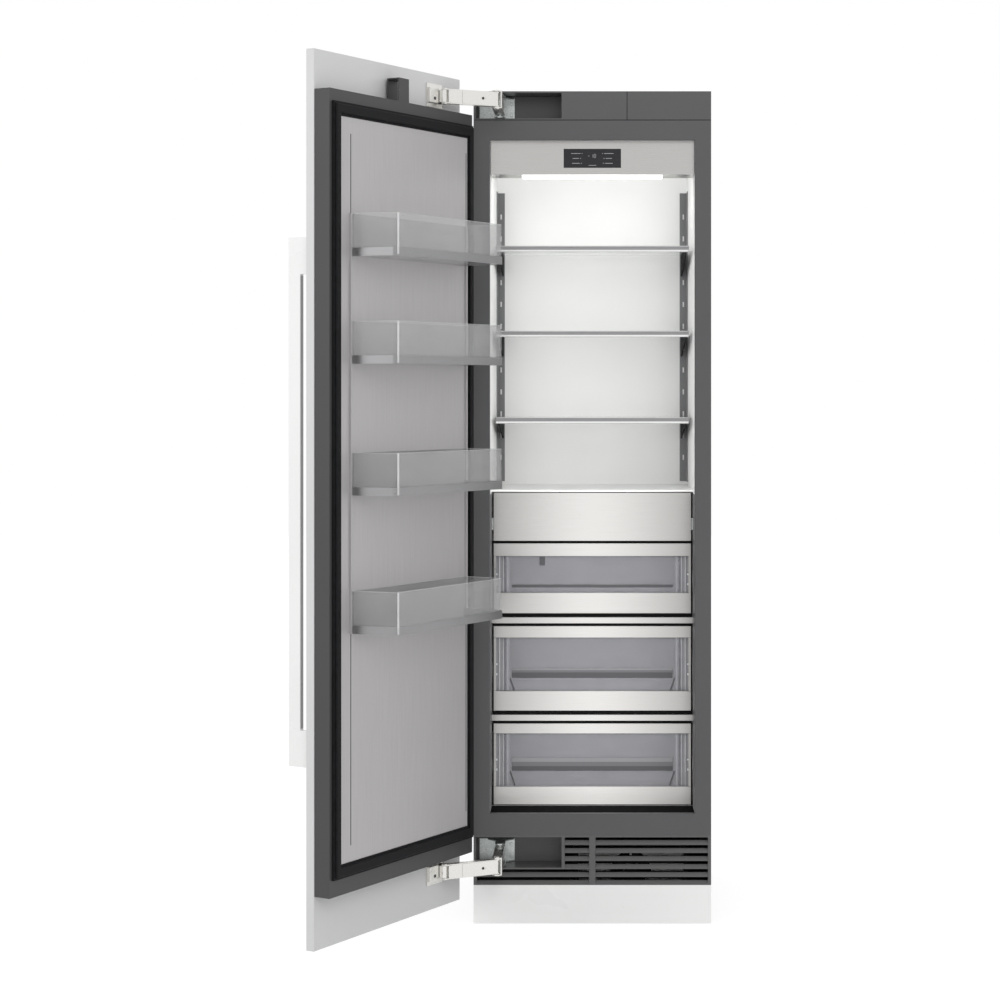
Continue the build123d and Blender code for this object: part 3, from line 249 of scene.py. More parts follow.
def steel_with_painted_reflection(name, colour):
    """Steel brushed across, with a painted reflection: its colour is brighter down the middle and darker
    towards both ends.
    """
    material = brushed_metal(name, colour, ACROSS_FRONT, (0.26, 0.38))
    tree = material.node_tree
    shader = tree.nodes["Principled BSDF"]
    brushed = shader.inputs["Base Color"].links[0].from_socket
    coordinates = tree.nodes.new("ShaderNodeTexCoord")
    separate = tree.nodes.new("ShaderNodeSeparateXYZ")
    tree.links.new(coordinates.outputs["Object"], separate.inputs["Vector"])
    distance = tree.nodes.new("ShaderNodeMath")
    distance.operation = "ABSOLUTE"
    tree.links.new(separate.outputs["X"], distance.inputs[0])
    # Painted reflection: the brushed colour is scaled from the middle's factor at the centre to the edge's
    # factor at this distance out
    painted_reflection_end = 0.29
    middle = 1.33
    edge = 0.79
    painted_reflection = spread(tree, distance.outputs[0], 0.0, painted_reflection_end, middle, edge)
    painted_reflection.node.interpolation_type = "SMOOTHSTEP"
    scaled = tree.nodes.new("ShaderNodeVectorMath")
    scaled.operation = "SCALE"
    tree.links.new(brushed, scaled.inputs[0])
    tree.links.new(painted_reflection, scaled.inputs["Scale"])
    tree.links.new(scaled.outputs[0], shader.inputs["Base Color"])
    return material


def lacquered_metal(name, colour, stroke, rough, metallic, contrast):
    """Brushed metal under a matt clear coat, which keeps some of the light that falls on it."""
    material = brushed_metal(name, colour, stroke, rough, contrast)
    material.node_tree.nodes["Principled BSDF"].inputs["Metallic"].default_value = metallic
    return material


def satin_paint(name, colour, roughness, peel, strength, tint=0.04):
    """Paint or lacquer with a fine orange peel and slight unevenness of gloss."""
    material, tree, shader = new_finish(name)
    peel_pattern = grain(tree, peel, 2, 0.5)
    cloud = grain(tree, 0.25, 3, 0.5)
    gloss = spread(tree, cloud, 0.3, 0.7, roughness - 0.05, roughness + 0.05)
    tree.links.new(shades(tree, cloud, colour, 1 - tint, 1 + tint), shader.inputs["Base Color"])
    tree.links.new(gloss, shader.inputs["Roughness"])
    relief(tree, shader, peel_pattern, strength, 0.0002)
    return material


def matt(material, gloss):
    """Takes the gloss of a finish down to a share of a clean plastic's."""
    material.node_tree.nodes["Principled BSDF"].inputs["Specular IOR Level"].default_value = gloss
    return material


def painted_shading_band(name, colour):
    """Dull flat colour laid on the window of a tub, painting the lit and shaded form that shows blurred
    through it.
    """
    return matt(satin_paint(name, colour, 0.5, 0.002, 0.04, 0.03), 0.2)


def moulded_plastic(name, colour, roughness, texture=0.0009, strength=0.15):
    """Opaque moulded plastic with a fine spark-eroded texture."""
    material, tree, shader = new_finish(name)
    fine = grain(tree, texture, 2, 0.6)
    cloud = grain(tree, 0.4, 2, 0.5)
    gloss = spread(tree, fine, 0.3, 0.7, roughness - 0.05, roughness + 0.08)
    tree.links.new(shades(tree, cloud, colour, 0.97, 1.03), shader.inputs["Base Color"])
    tree.links.new(gloss, shader.inputs["Roughness"])
    relief(tree, shader, fine, strength, 0.0001)
    return material


def thin_wall(tree, shader, blend, face_on, edge_on):
    """Lets a wall be seen through, more where it is seen face on than at its edges."""
    weight = tree.nodes.new("ShaderNodeLayerWeight")
    weight.inputs["Blend"].default_value = blend
    density = spread(tree, weight.outputs["Facing"], 0.0, 1.0, face_on, edge_on)
    tree.links.new(density, shader.inputs["Alpha"])


def clear_plastic(name, colour, face_on, edge_on, roughness, ripple):
    """Clear moulded plastic: thin face on, denser at its edges, with faint flow ripples."""
    material, tree, shader = new_finish(name)
    flow = grain(tree, (0.06, 0.06, 0.02), 2, 0.4)
    tree.links.new(shades(tree, flow, colour, 0.96, 1.04), shader.inputs["Base Color"])
    shader.inputs["Roughness"].default_value = roughness
    shader.inputs["IOR"].default_value = 1.49
    thin_wall(tree, shader, 0.35, face_on, edge_on)
    relief(tree, shader, flow, ripple, 0.002)
    return material


def zinc_plate(name, colour):
    """Spangled zinc: patches of differing grey with a soft metal gloss."""
    material, tree, shader = new_finish(name)
    coordinates = tree.nodes.new("ShaderNodeTexCoord")
    spangle = tree.nodes.new("ShaderNodeTexVoronoi")
    spangle.inputs["Scale"].default_value = 260
    tree.links.new(coordinates.outputs["Object"], spangle.inputs["Vector"])
    separate = tree.nodes.new("ShaderNodeSeparateColor")
    tree.links.new(spangle.outputs["Color"], separate.inputs["Color"])
    patch = separate.outputs[0]
    tree.links.new(shades(tree, patch, colour, 0.78, 1.12, 0.0, 1.0), shader.inputs["Base Color"])
    tree.links.new(spread(tree, patch, 0.0, 1.0, 0.28, 0.5), shader.inputs["Roughness"])
    shader.inputs["Metallic"].default_value = 0.85
    relief(tree, shader, patch, 0.1, 0.0002)
    return material


def rubber(name):
    """Matt black sealing rubber with a faint bloom."""
    material, tree, shader = new_finish(name)
    bloom = grain(tree, 0.01, 5, 0.6)
    tree.links.new(shades(tree, bloom, (0.007, 0.007, 0.008), 0.8, 1.7), shader.inputs["Base Color"])
    tree.links.new(spread(tree, bloom, 0.3, 0.7, 0.55, 0.75), shader.inputs["Roughness"])
    relief(tree, shader, bloom, 0.1, 0.0004)
    return matt(material, 0.18)


def foam(name):
    """Cast foam, cream, with open cells."""
    material, tree, shader = new_finish(name)
    cells = grain(tree, 0.003, 3, 0.7)
    tree.links.new(shades(tree, cells, (0.72, 0.64, 0.42), 0.85, 1.1), shader.inputs["Base Color"])
    shader.inputs["Roughness"].default_value = 0.9
    relief(tree, shader, cells, 0.5, 0.001)
    return material


def toughened_glass(name):
    """Clear shelf glass with a faint green edge."""
    material, tree, shader = new_finish(name)
    drift = grain(tree, 0.3, 2, 0.5)
    tree.links.new(shades(tree, drift, (0.72, 0.75, 0.74), 0.97, 1.03), shader.inputs["Base Color"])
    shader.inputs["Roughness"].default_value = 0.04
    shader.inputs["IOR"].default_value = 1.5
    thin_wall(tree, shader, 0.5, 0.06, 0.5)
    return material


def opal_light(name, strength):
    """Opal diffuser lit from behind, a little uneven in its glow."""
    material, tree, shader = new_finish(name)
    drift = grain(tree, (0.2, 0.05, 0.2), 2, 0.5)
    tree.links.new(shades(tree, drift, (0.95, 0.95, 0.93), 0.97, 1.02), shader.inputs["Base Color"])
    shader.inputs["Roughness"].default_value = 0.35
    shader.inputs["Emission Color"].default_value = (1.0, 0.99, 0.96, 1)
    glow = spread(tree, drift, 0.2, 0.8, strength * 0.9, strength * 1.1)
    tree.links.new(glow, shader.inputs["Emission Strength"])
    return material


def black_glass(name):
    """Gloss black display window with faint smears in its gloss."""
    material, tree, shader = new_finish(name)
    smears = grain(tree, (0.03, 0.03, 0.008), 4, 0.6)
    tree.links.new(shades(tree, smears, (0.016, 0.016, 0.019), 0.9, 1.2), shader.inputs["Base Color"])
    tree.links.new(spread(tree, smears, 0.3, 0.7, 0.12, 0.22), shader.inputs["Roughness"])
    return matt(material, 0.35)


def glowing_marks(name):
    """Pale lit marks behind the display window."""
    material, tree, shader = new_finish(name)
    flicker = grain(tree, 0.004, 1, 0.5)
    tree.links.new(shades(tree, flicker, (0.30, 0.30, 0.32), 0.9, 1.05), shader.inputs["Base Color"])
    shader.inputs["Emission Color"].default_value = (0.8, 0.82, 0.85, 1)
    shader.inputs["Emission Strength"].default_value = 0.1
    shader.inputs["Roughness"].default_value = 0.4
    return material


def white_stage(name, brightness):
    """White to the camera and in reflections, and a plain pale surface to the light."""
    material = bpy.data.materials.new(name)
    material.use_nodes = True
    tree = material.node_tree
    tree.nodes.clear()
    output = tree.nodes.new("ShaderNodeOutputMaterial")
    pale = tree.nodes.new("ShaderNodeBsdfDiffuse")
    pale.inputs["Color"].default_value = (0.8, 0.8, 0.8, 1)
    glow = tree.nodes.new("ShaderNodeEmission")
    glow.inputs["Color"].default_value = (1, 1, 1, 1)
    glow.inputs["Strength"].default_value = brightness
    shaded = tree.nodes.new("ShaderNodeBsdfDiffuse")
    shaded.inputs["Color"].default_value = (0.25, 0.25, 0.25, 1)
    lit = tree.nodes.new("ShaderNodeAddShader")
    mix = tree.nodes.new("ShaderNodeMixShader")
    tree.links.new(glow.outputs[0], lit.inputs[0])
    tree.links.new(shaded.outputs[0], lit.inputs[1])
    tree.links.new(seen_rays(tree), mix.inputs["Fac"])
    tree.links.new(pale.outputs[0], mix.inputs[1])
    tree.links.new(lit.outputs[0], mix.inputs[2])
    tree.links.new(mix.outputs[0], output.inputs["Surface"])
    return material


# Modelling helpers


def clear_selection():
    """Leaves object mode with nothing selected."""
    if bpy.context.object and bpy.context.object.mode != "OBJECT":
        bpy.ops.object.mode_set(mode="OBJECT")
    bpy.ops.object.select_all(action="DESELECT")


def pick(piece):
    """Selects one piece alone and makes it the active one."""
    clear_selection()
    piece.select_set(True)
    bpy.context.view_layer.objects.active = piece


def named(name):
    """Names the active piece, and its mesh after it."""
    piece = bpy.context.object
    piece.name = name
    piece.data.name = name
    return piece


def pick_faces(piece, test):
    """In edit mode, selects only the faces whose centre and normal pass a test."""
    bpy.ops.mesh.select_mode(type="FACE")
    bpy.ops.mesh.select_all(action="DESELECT")
    mesh = bmesh.from_edit_mesh(piece.data)
    for face in mesh.faces:
        face.select_set(test(face.calc_center_median(), face.normal))
    bmesh.update_edit_mesh(piece.data)


def pick_edges(piece, test):
    """In edit mode, selects only the edges whose two ends pass a test."""
    bpy.ops.mesh.select_mode(type="EDGE")
    bpy.ops.mesh.select_all(action="DESELECT")
    mesh = bmesh.from_edit_mesh(piece.data)
    for edge in mesh.edges:
        edge.select_set(test(edge.verts[0].co, edge.verts[1].co))
    bmesh.update_edit_mesh(piece.data)


def placed_copy(piece, place, name):
    """A copy with its own mesh, moved by a matrix that is applied to the mesh."""
    copy = piece.copy()
    copy.data = piece.data.copy()
    copy.name = name
    bpy.context.scene.collection.objects.link(copy)
    copy.data.transform(place)
    return copy


def join(pieces, name):
    """Joins pieces into one, with its origin at the frame's."""
    clear_selection()
    for piece in pieces:
        piece.select_set(True)
    bpy.context.view_layer.objects.active = pieces[0]
    if len(pieces) > 1:
        bpy.ops.object.join()
    bpy.ops.object.transform_apply(location=True, rotation=True, scale=True)
    return named(name)


def paint(piece, material):
    """Gives a piece one material all over."""
    piece.data.materials.clear()
    piece.data.materials.append(material)


def door_frame(height=0.0):
    """Matrix from the door's own directions, along, inward and up, to the opened door's place."""
    corner = (*DOOR_CORNER, height)
    return Matrix.Translation(corner) @ Matrix.Rotation(DOOR_ANGLE, 4, "Z")


def facing(place, normal, twist=0.0):
    """Matrix that puts a piece modelled along +Z at a place, along a normal."""
    turn = Vector(normal).to_track_quat("Z", "Y").to_matrix().to_4x4()
    return Matrix.Translation(place) @ turn @ Matrix.Rotation(twist, 4, "Z")


def plain_box(name, centre, size):
    """Box with sharp edges about a centre."""
    clear_selection()
    bpy.ops.mesh.primitive_cube_add(size=1, location=centre)
    piece = named(name)
    piece.scale = size
    bpy.ops.object.transform_apply(location=True, rotation=False, scale=True)
    return piece


def cut(piece, cutter):
    """Takes the room of a cutter out of a piece, and removes the cutter."""
    pick(piece)
    opening = piece.modifiers.new("opening", "BOOLEAN")
    opening.operation = "DIFFERENCE"
    opening.object = cutter
    bpy.ops.object.modifier_apply(modifier=opening.name)
    bpy.data.objects.remove(cutter)


def round_head(name, radius, height, softening, segments):
    """Round head on the origin, its upper edge softened by a share of its height."""
    clear_selection()
    bpy.ops.mesh.primitive_cylinder_add(vertices=32, radius=radius, depth=height, location=(0, 0, height / 2))
    head = named(name)
    bpy.ops.object.transform_apply(location=True, rotation=False, scale=False)
    bpy.ops.object.mode_set(mode="EDIT")
    upper = height * 0.9
    pick_edges(head, lambda a, b: a.z > upper and b.z > upper)
    bpy.ops.mesh.bevel(offset=height * softening, segments=segments, affect="EDGES")
    bpy.ops.object.mode_set(mode="OBJECT")
    return head


def cross_head(radius, height):
    """Pan head screw with a cross recess, its underside at the origin."""
    head = round_head("screw_head", radius, height, 0.45, 3)
    blade = (radius * 1.05, radius * 0.24, height * 0.9)
    for turn in (0, math.pi / 2):
        cutter = plain_box("blade", (0, 0, height), blade)
        cutter.data.transform(Matrix.Rotation(turn, 4, "Z"))
        cut(head, cutter)
    return head


def strip(name, low, high, soften):
    """Strip between two corners, with its edges softened."""
    low = Vector(low)
    high = Vector(high)
    piece = plain_box(name, (low + high) / 2, high - low)
    bpy.ops.object.mode_set(mode="EDIT")
    bpy.ops.mesh.select_all(action="SELECT")
    bpy.ops.mesh.bevel(offset=soften, segments=2, affect="EDGES")
    bpy.ops.object.mode_set(mode="OBJECT")
    return piece


def door_strip(name, low, high, soften, height=0.0):
    """Strip on the opened door, between two corners in the door's own directions."""
    piece = strip(name, low, high, soften)
    piece.data.transform(door_frame(height))
    return piece


def top_lip(node, name, depth, thickness):
    """Lip on the top faces of a part, made from a merged copy of its mesh."""
    source = frame["nodes"][node]
    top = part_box(node)[1].z
    lip = placed_copy(source, Matrix.Identity(4), name)
    pick(lip)
    bpy.ops.object.mode_set(mode="EDIT")
    bpy.ops.mesh.select_all(action="SELECT")
    bpy.ops.mesh.remove_doubles(threshold=1e-5)
    pick_faces(lip, lambda c, n: n.z < 0.9 or c.z < top - depth)
    bpy.ops.mesh.delete(type="FACE")
    bpy.ops.mesh.select_all(action="SELECT")
    bpy.ops.mesh.extrude_region_move(TRANSFORM_OT_translate={"value": (0, 0, thickness)})
    bpy.ops.mesh.select_all(action="SELECT")
    bpy.ops.mesh.normals_make_consistent(inside=False)
    bpy.ops.object.mode_set(mode="OBJECT")
    return lip


def dress(piece, material, body):
    """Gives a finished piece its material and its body."""
    paint(piece, finish[material])
    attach(piece, body)


def finishes():
    """Makes every finish once, by name."""
    colours = bpy.context.scene.freezer_colours
    header_steel = tuple(0.85 * part for part in colours.steel)
    end_smoke = tuple(0.62 * part for part in colours.smoke)
    down_door = (0.0006, 0.0006, 0.14)
    round_arm = (0.004, 0.004, 0.0008)
    return {
        "cabinet": satin_paint("cabinet_grey", colours.cabinet_grey, 0.42, 0.0014, 0.10),
        "door_pan": satin_paint("door_grey", colours.door_grey, 0.44, 0.0014, 0.10),
        "vent": satin_paint("vent_grey", colours.vent_grey, 0.38, 0.0012, 0.08),
        "interior": moulded_plastic("interior_white", colours.interior_white, 0.38, 0.0011, 0.12),
        "lacquer": satin_paint("lacquer_white", colours.lacquer_white, 0.3, 0.002, 0.04, 0.012),
        "kick": satin_paint("kick_white", colours.kick_white, 0.3, 0.002, 0.04, 0.012),
        "panel": satin_paint("panel_lacquer", colours.panel_lacquer, 0.34, 0.002, 0.05, 0.015),
        "steel_painted_reflection": steel_with_painted_reflection("steel_front_painted_reflection", colours.steel),
        "steel_across": brushed_metal("steel_brushed_across", header_steel, ACROSS_FRONT),
        "steel_down": lacquered_metal(
            "steel_brushed_down", colours.door_steel, down_door, (0.42, 0.54), 0.5, 0.07),
        "steel_trim": brushed_metal("steel_trim", colours.trim_steel, ALONG_TRIM, (0.24, 0.36), 0.04),
        "nickel": brushed_metal("satin_nickel", colours.nickel, round_arm, (0.22, 0.34), 0.04),
        "zinc": zinc_plate("zinc_plate", colours.zinc),
        "rubber": rubber("seal_rubber"),
        "foam": foam("cast_foam"),
        "glass": toughened_glass("shelf_glass"),
        "bin": clear_plastic("bin_clear", colours.clear, 0.14, 0.5, 0.06, 0.0),
        # Bright clear of the rims of bins and tubs, and of the painted highlights down the bins' front
        # corners
        "rim": clear_plastic("clear_lips_and_painted_highlights", (0.80, 0.80, 0.81), 0.6, 0.85, 0.08, 0.0),
        # Grey of the strip painted as shade on the back of the handle
        "painted_back_shade": satin_paint("handle_back_painted_shade", (0.36, 0.36, 0.36), 0.5, 0.002, 0.04, 0.03),
        "tub": clear_plastic("tub_smoke", colours.smoke, 0.30, 0.75, 0.12, 0.01),
        "rib": clear_plastic("rib_clear", (0.62, 0.62, 0.64), 0.5, 0.8, 0.12, 0.0),
        # Greys painted on the tubs' windows for the step behind: lit at the top, in deepening shade below
        "step_painted_lit": painted_shading_band("tub_step_painted_lit", (0.20, 0.198, 0.208)),
        "step_painted_half_shade": painted_shading_band("tub_step_painted_half_shade", (0.125, 0.123, 0.131)),
        "step_painted_shade": painted_shading_band("tub_step_painted_shade", (0.075, 0.073, 0.079)),
        "tub_end": clear_plastic("tub_smoke_end", end_smoke, 0.86, 0.94, 0.15, 0.01),
        # Bright steel of the strips that are painted highlights on the shelf trims
        "painted_highlight": brushed_metal("painted_highlight_steel", (0.84, 0.84, 0.835), ALONG_TRIM, (0.2, 0.3), 0.03),
        "opal": opal_light("opal_light", 1.5),
        "display": black_glass("display_window"),
        "marks": glowing_marks("display_marks"),
        # Black coat of the brackets, compressor and condenser, and of the base pan as painted shade behind
        # the vent
        "black_steel": matt(satin_paint("black_coat_and_vent_shade", (0.010, 0.010, 0.011), 0.7, 0.0012, 0.2), 0.06),
        # Black of the fascia's seams, and of the strips painted as shade on the sill, beside the bins and
        # round the drawers
        "shadow_gap": matt(moulded_plastic("dark_joints_and_painted_shade", (0.005, 0.005, 0.005), 0.8, 0.002, 0.1), 0.05),
        "track": lacquered_metal(
            "track_grey", (0.22, 0.22, 0.225), (0.0008, 0.0008, 0.2), (0.35, 0.5), 0.4, 0.05),
        "dark_plastic": moulded_plastic("dark_plastic", (0.03, 0.03, 0.032), 0.45),
        "aluminium": brushed_metal("bare_aluminium", (0.7, 0.71, 0.72), (0.0008, 0.003, 0.003), (0.3, 0.45)),
        "brass": brushed_metal("bare_brass", (0.72, 0.53, 0.26), 0.002, (0.25, 0.4)),
    }


finish = {}

# Parts that wear each finish
NODE_FINISHES = {
    "cabinet": ("outer_case", "face_frame", "top_fascia"),
    "door_pan": ("door_pan",),
    "vent": ("vent_grille",),
    "interior": ("liner", "duct_panel", "ice_deck", "fan_shroud"),
    "lacquer": ("handle",),
    "kick": ("toe_kick",),
    "panel": ("overlay_panel",),
    # These fronts wear the painted reflection, brighter down the middle
    "steel_painted_reflection": ("ice_drawer_front", "cross_rails", "drawer_1_front", "drawer_2_front",
                   "drawer_3_front"),
    "steel_across": ("control_header",),
    "steel_down": ("door_liner",),
    "steel_trim": ("bin_trims", "shelf_trims"),
    "nickel": ("upper_inner_arm", "upper_outer_arm", "lower_inner_arm", "lower_outer_arm",
               "door_hinge_plates"),
    "zinc": ("front_feet", "hinge_brackets", "slide_rails", "drawer_1_slides", "drawer_2_slides",
             "drawer_3_slides", "ice_drawer_slides"),
    "rubber": ("gasket",),
    "foam": ("insulation", "door_insulation"),
    "glass": ("shelf_glass_1", "shelf_glass_2", "shelf_glass_3"),
    "bin": ("door_bin_1", "door_bin_2", "door_bin_3", "door_bin_4"),
    "tub": ("drawer_1_tub", "drawer_2_tub", "drawer_3_tub", "ice_drawer_tub"),
    "opal": ("light_panel",),
    "display": ("display",),
    # The base pan wears the black coat as painted shade, so the vent's slots show dark
    "black_steel": ("shelf_brackets", "compressor", "condenser", "base_pan"),
    "track": ("shelf_tracks",),
    "dark_plastic": ("rear_rollers", "condenser_fan", "evaporator_fan", "ice_maker"),
    "aluminium": ("evaporator",),
    "brass": ("water_inlet",),
}


class FREEZER_OT_finishes(bpy.types.Operator):
    """Give every part of the freezer its finish"""

    bl_idname = "freezer.finishes"
    bl_label = "Finishes"

    def execute(self, context):
        finish.update(finishes())
        for name, nodes in NODE_FINISHES.items():
            for node in nodes:
                paint(frame["nodes"][node], finish[name])
        return {"FINISHED"}


def freezer_sizes():
    """The sizes that a user may change."""
    return bpy.context.scene.freezer_sizes


def hinge_heights():
    """Height of the middle of each hinge, by its name."""
    low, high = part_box("hinge_brackets")
    half = freezer_sizes().bracket_half
    return {"lower": low.z + half, "upper": high.z - half}


def pivots():
    """Place of each turning joint, by its name."""
    return {joint["name"]: Vector(joint["pos_m"]) for joint in frame["joints"] if "pos_m" in joint}


class FREEZER_OT_screws(bpy.types.Operator):
    """Put the screws on the hinge brackets of the cabinet"""

    bl_idname = "freezer.screws"
    bl_label = "Bracket screws"

    def execute(self, context):
        sizes = freezer_sizes()
        head = cross_head(sizes.screw_radius, sizes.screw_height)
        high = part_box("hinge_brackets")[1]
        plate_front = high.y - 0.003
        column = high.x - 0.0078
        slant = 0.4
        heads = []
        for centre in hinge_heights().values():
            for side in (-1, 1):
                place = (column, plate_front, centre + side * sizes.bracket_half / 2)
                heads.append(placed_copy(head, facing(place, (0, -1, 0), slant * side), "head"))
        bpy.data.objects.remove(head)
        dress(join(heads, "bracket_screws"), "zinc", "cabinet")
        return {"FINISHED"}


class FREEZER_OT_rivets(bpy.types.Operator):
    """Put the domed ends of the pins on the pivots of the hinges"""

    bl_idname = "freezer.rivets"
    bl_label = "Pivot pins"

    def execute(self, context):
        pin_radius = 0.0068
        pin_height = 0.002
        head = round_head("rivet_head", pin_radius, pin_height, 0.85, 5)
        joints = pivots()
        inner_half = 0.022
        outer_half = 0.018
        for side, height in hinge_heights().items():
            ends = {
                f"{side}_inner_arm": (joints["upper_elbow"], inner_half),
                f"{side}_outer_arm": (joints["door_turn"], outer_half),
            }
            for body, (pivot, half) in ends.items():
                pins = []
                for way in (1, -1):
                    place = (pivot.x, pivot.y, height + way * half)
                    pins.append(placed_copy(head, facing(place, (0, 0, way)), "pin"))
                dress(join(pins, f"{body}_pin"), "nickel", body)
        bpy.data.objects.remove(head)
        return {"FINISHED"}


def bar(width, height, centre):
    """Flat lit mark with softened corners, facing the viewer."""
    thickness = 0.0004
    mark = plain_box("mark", centre, (width, thickness, height))
    bpy.ops.object.mode_set(mode="EDIT")
    pick_edges(mark, lambda a, b: abs(a.x - b.x) < 1e-6 and abs(a.z - b.z) < 1e-6)
    bpy.ops.mesh.bevel(offset=min(width, height) * 0.3, segments=2, affect="EDGES")
    bpy.ops.object.mode_set(mode="OBJECT")
    return mark


# Heights of the level segments of a digit, places of its upright ones, and the segments that are lit
LEVEL_SEGMENTS = {"top": 1.0, "middle": 0.5, "bottom": 0.0}
UPRIGHT_SEGMENTS = {
    "top_left": (0, 0.75),
    "top_right": (1, 0.75),
    "low_left": (0, 0.25),
    "low_right": (1, 0.25),
}
LIT_SEGMENTS = {
    "1": ("top_right", "low_right"),
    "8": ("top", "middle", "bottom", "top_left", "top_right", "low_left", "low_right"),
    "-": ("middle",),
}


def digit(number, left, bottom, depth, height):
    """Seven-segment digit or minus sign, from a bar for each segment that is lit."""
    width = height * 0.55
    stroke = height * 0.12
    marks = []
    for segment in LIT_SEGMENTS[number]:
        if segment in LEVEL_SEGMENTS:
            place = (left + width / 2, depth, bottom + LEVEL_SEGMENTS[segment] * height)
            marks.append(bar(width - stroke, stroke, place))
        else:
            side, rise = UPRIGHT_SEGMENTS[segment]
            place = (left + side * width, depth, bottom + rise * height)
            marks.append(bar(stroke, height / 2 - stroke, place))
    return marks


class FREEZER_OT_display_marks(bpy.types.Operator):
    """Put the digits and the small lit marks on the display"""

    bl_idname = "freezer.display_marks"
    bl_label = "Display marks"

    def execute(self, context):
        height = freezer_sizes().mark_height
        low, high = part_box("display")
        centre = (low + high) / 2
        face = low.y - 0.0001
        marks = []
        pitch = height * 0.85
        baseline = centre.z + height * 0.15
        for index, number in enumerate("-18"):
            marks += digit(number, centre.x + (index - 1.5) * pitch, baseline, face, height)
        marks.append(bar(height * 2.2, height * 0.14, (centre.x, face, low.z + height * 0.7)))
        column = 0.042
        first_row = high.z - 0.012
        row_pitch = 0.0125
        dot_gap = 0.004
        dot_size = height * 0.22
        for side in (-1, 1):
            for row, width in enumerate((0.024, 0.016, 0.020)):
                across = centre.x + side * column
                level = first_row - row * row_pitch
                marks.append(bar(width, height * 0.16, (across, face, level)))
                dot = (across - side * (width / 2 + dot_gap), face, level)
                marks.append(bar(dot_size, dot_size, dot))
        dress(join(marks, "display_marks"), "marks", "cabinet")
        return {"FINISHED"}


class FREEZER_OT_arm_covers(bpy.types.Operator):
    """Put the slotted covers and their screws on the outer arms of the hinges"""

    bl_idname = "freezer.arm_covers"
    bl_label = "Arm covers"

    def execute(self, context):
        joints = pivots()
        knee = joints["upper_elbow"]
        along = joints["door_turn"] - knee
        turn = Matrix.Rotation(math.atan2(along.y, along.x), 4, "Z")
        face = 0.0085
        front = face + freezer_sizes().cover_thickness
        long_half = 0.0165
        short_half = 0.015
        slot_half = 0.0035
        slot_middle = 0.042
        slot_reach = 0.0075
        screw = cross_head(0.0033, 0.0011)
        on_cover = facing((slot_middle, face, 0), (0, 1, 0), 0.3)
        for side, height in hinge_heights().items():
            place = Matrix.Translation((knee.x, knee.y, height)) @ turn
            long_plate = strip("long_plate", (0.007, face, -long_half), (0.098, front, long_half), 0.0005)
            slot_start = (slot_middle - slot_reach, 0, -slot_half)
            slot_end = (slot_middle + slot_reach, 0.02, slot_half)
            cut(long_plate, strip("slot_cutter", slot_start, slot_end, 0.0034))
            short_plate = strip("short_plate", (0.105, face, -short_half), (0.135, front, short_half), 0.0005)
            cover = join([long_plate, short_plate], f"{side}_arm_cover")
            cover.data.transform(place)
            dress(cover, "nickel", f"{side}_outer_arm")
            head = placed_copy(screw, place @ on_cover, f"{side}_arm_screw")
            dress(head, "dark_plastic", f"{side}_outer_arm")
        bpy.data.objects.remove(screw)
        return {"FINISHED"}


class FREEZER_OT_door_blocks(bpy.types.Operator):
    """Model the plated block and the black stop on each hinge plate of the door"""

    bl_idname = "freezer.door_blocks"
    bl_label = "Door hinge blocks"

    def execute(self, context):
        plate = 0.003
        block_face = 0.0095
        block_half = 0.0185
        stop_face = 0.0105
        stop_half = 0.0175
        blocks = []
        stops = []
        for height in hinge_heights().values():
            start = (0.108, plate, -block_half)
            end = (0.146, block_face, block_half)
            blocks.append(door_strip("block", start, end, 0.0012, height))
            start = (0.120, block_face - 0.0005, -0.0105)
            end = (0.129, block_face + 0.0005, -0.0035)
            stops.append(door_strip("slot", start, end, 0.0003, height))
            start = (0.0845, plate, -stop_half)
            end = (0.0895, stop_face, stop_half)
            stops.append(door_strip("stop", start, end, 0.0006, height))
        dress(join(blocks, "door_hinge_blocks"), "nickel", "door")
        dress(join(stops, "door_hinge_stops"), "dark_plastic", "door")
        return {"FINISHED"}


class FREEZER_OT_seams(bpy.types.Operator):
    """Lay the dark seams of the fascia"""

    bl_idname = "freezer.seams"
    bl_label = "Fascia seams"

    def execute(self, context):
        low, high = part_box("top_fascia")
        face = low.y - 0.0003
        back = low.y + 0.0004
        half = 0.0008
        inset = 0.0005
        start = (low.x + inset, face, low.z - half)
        end = (high.x - inset, back, low.z + half)
        level = strip("seam", start, end, 0.0002)
        upright = strip("seam", (0.0874, face, low.z + half), (0.0886, back, high.z - 0.001), 0.0002)
        dress(join([level, upright], "fascia_seams"), "shadow_gap", "cabinet")
        return {"FINISHED"}


class FREEZER_OT_shelf_painted_highlights(bpy.types.Operator):
    """Lay two painted highlights along the front of each shelf: a bright strip low on the trim and a fine one
    at its upper edge
    """

    bl_idname = "freezer.shelf_beads"
    bl_label = "Shelf painted highlights"

    def execute(self, context):
        low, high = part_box("shelf_trims")
        inset = 0.0006
        front = low.y - 0.0005
        back = low.y + 0.0006
        # Lower edge below the top of the glass, and height, of the lower painted highlight and of the fine
        # one at the upper edge
        rows = ((0.0152, 0.0050), (0.0014, 0.0012))
        highlight_strips = []
        for number in (1, 2, 3):
            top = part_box(f"shelf_glass_{number}")[1].z
            for drop, rise in rows:
                start = (low.x + inset, front, top - drop)
                end = (high.x - inset, back, top - drop + rise)
                highlight_strips.append(strip("painted_highlight", start, end, 0.0004))
        dress(join(highlight_strips, "shelf_beads"), "painted_highlight", "cabinet")
        return {"FINISHED"}


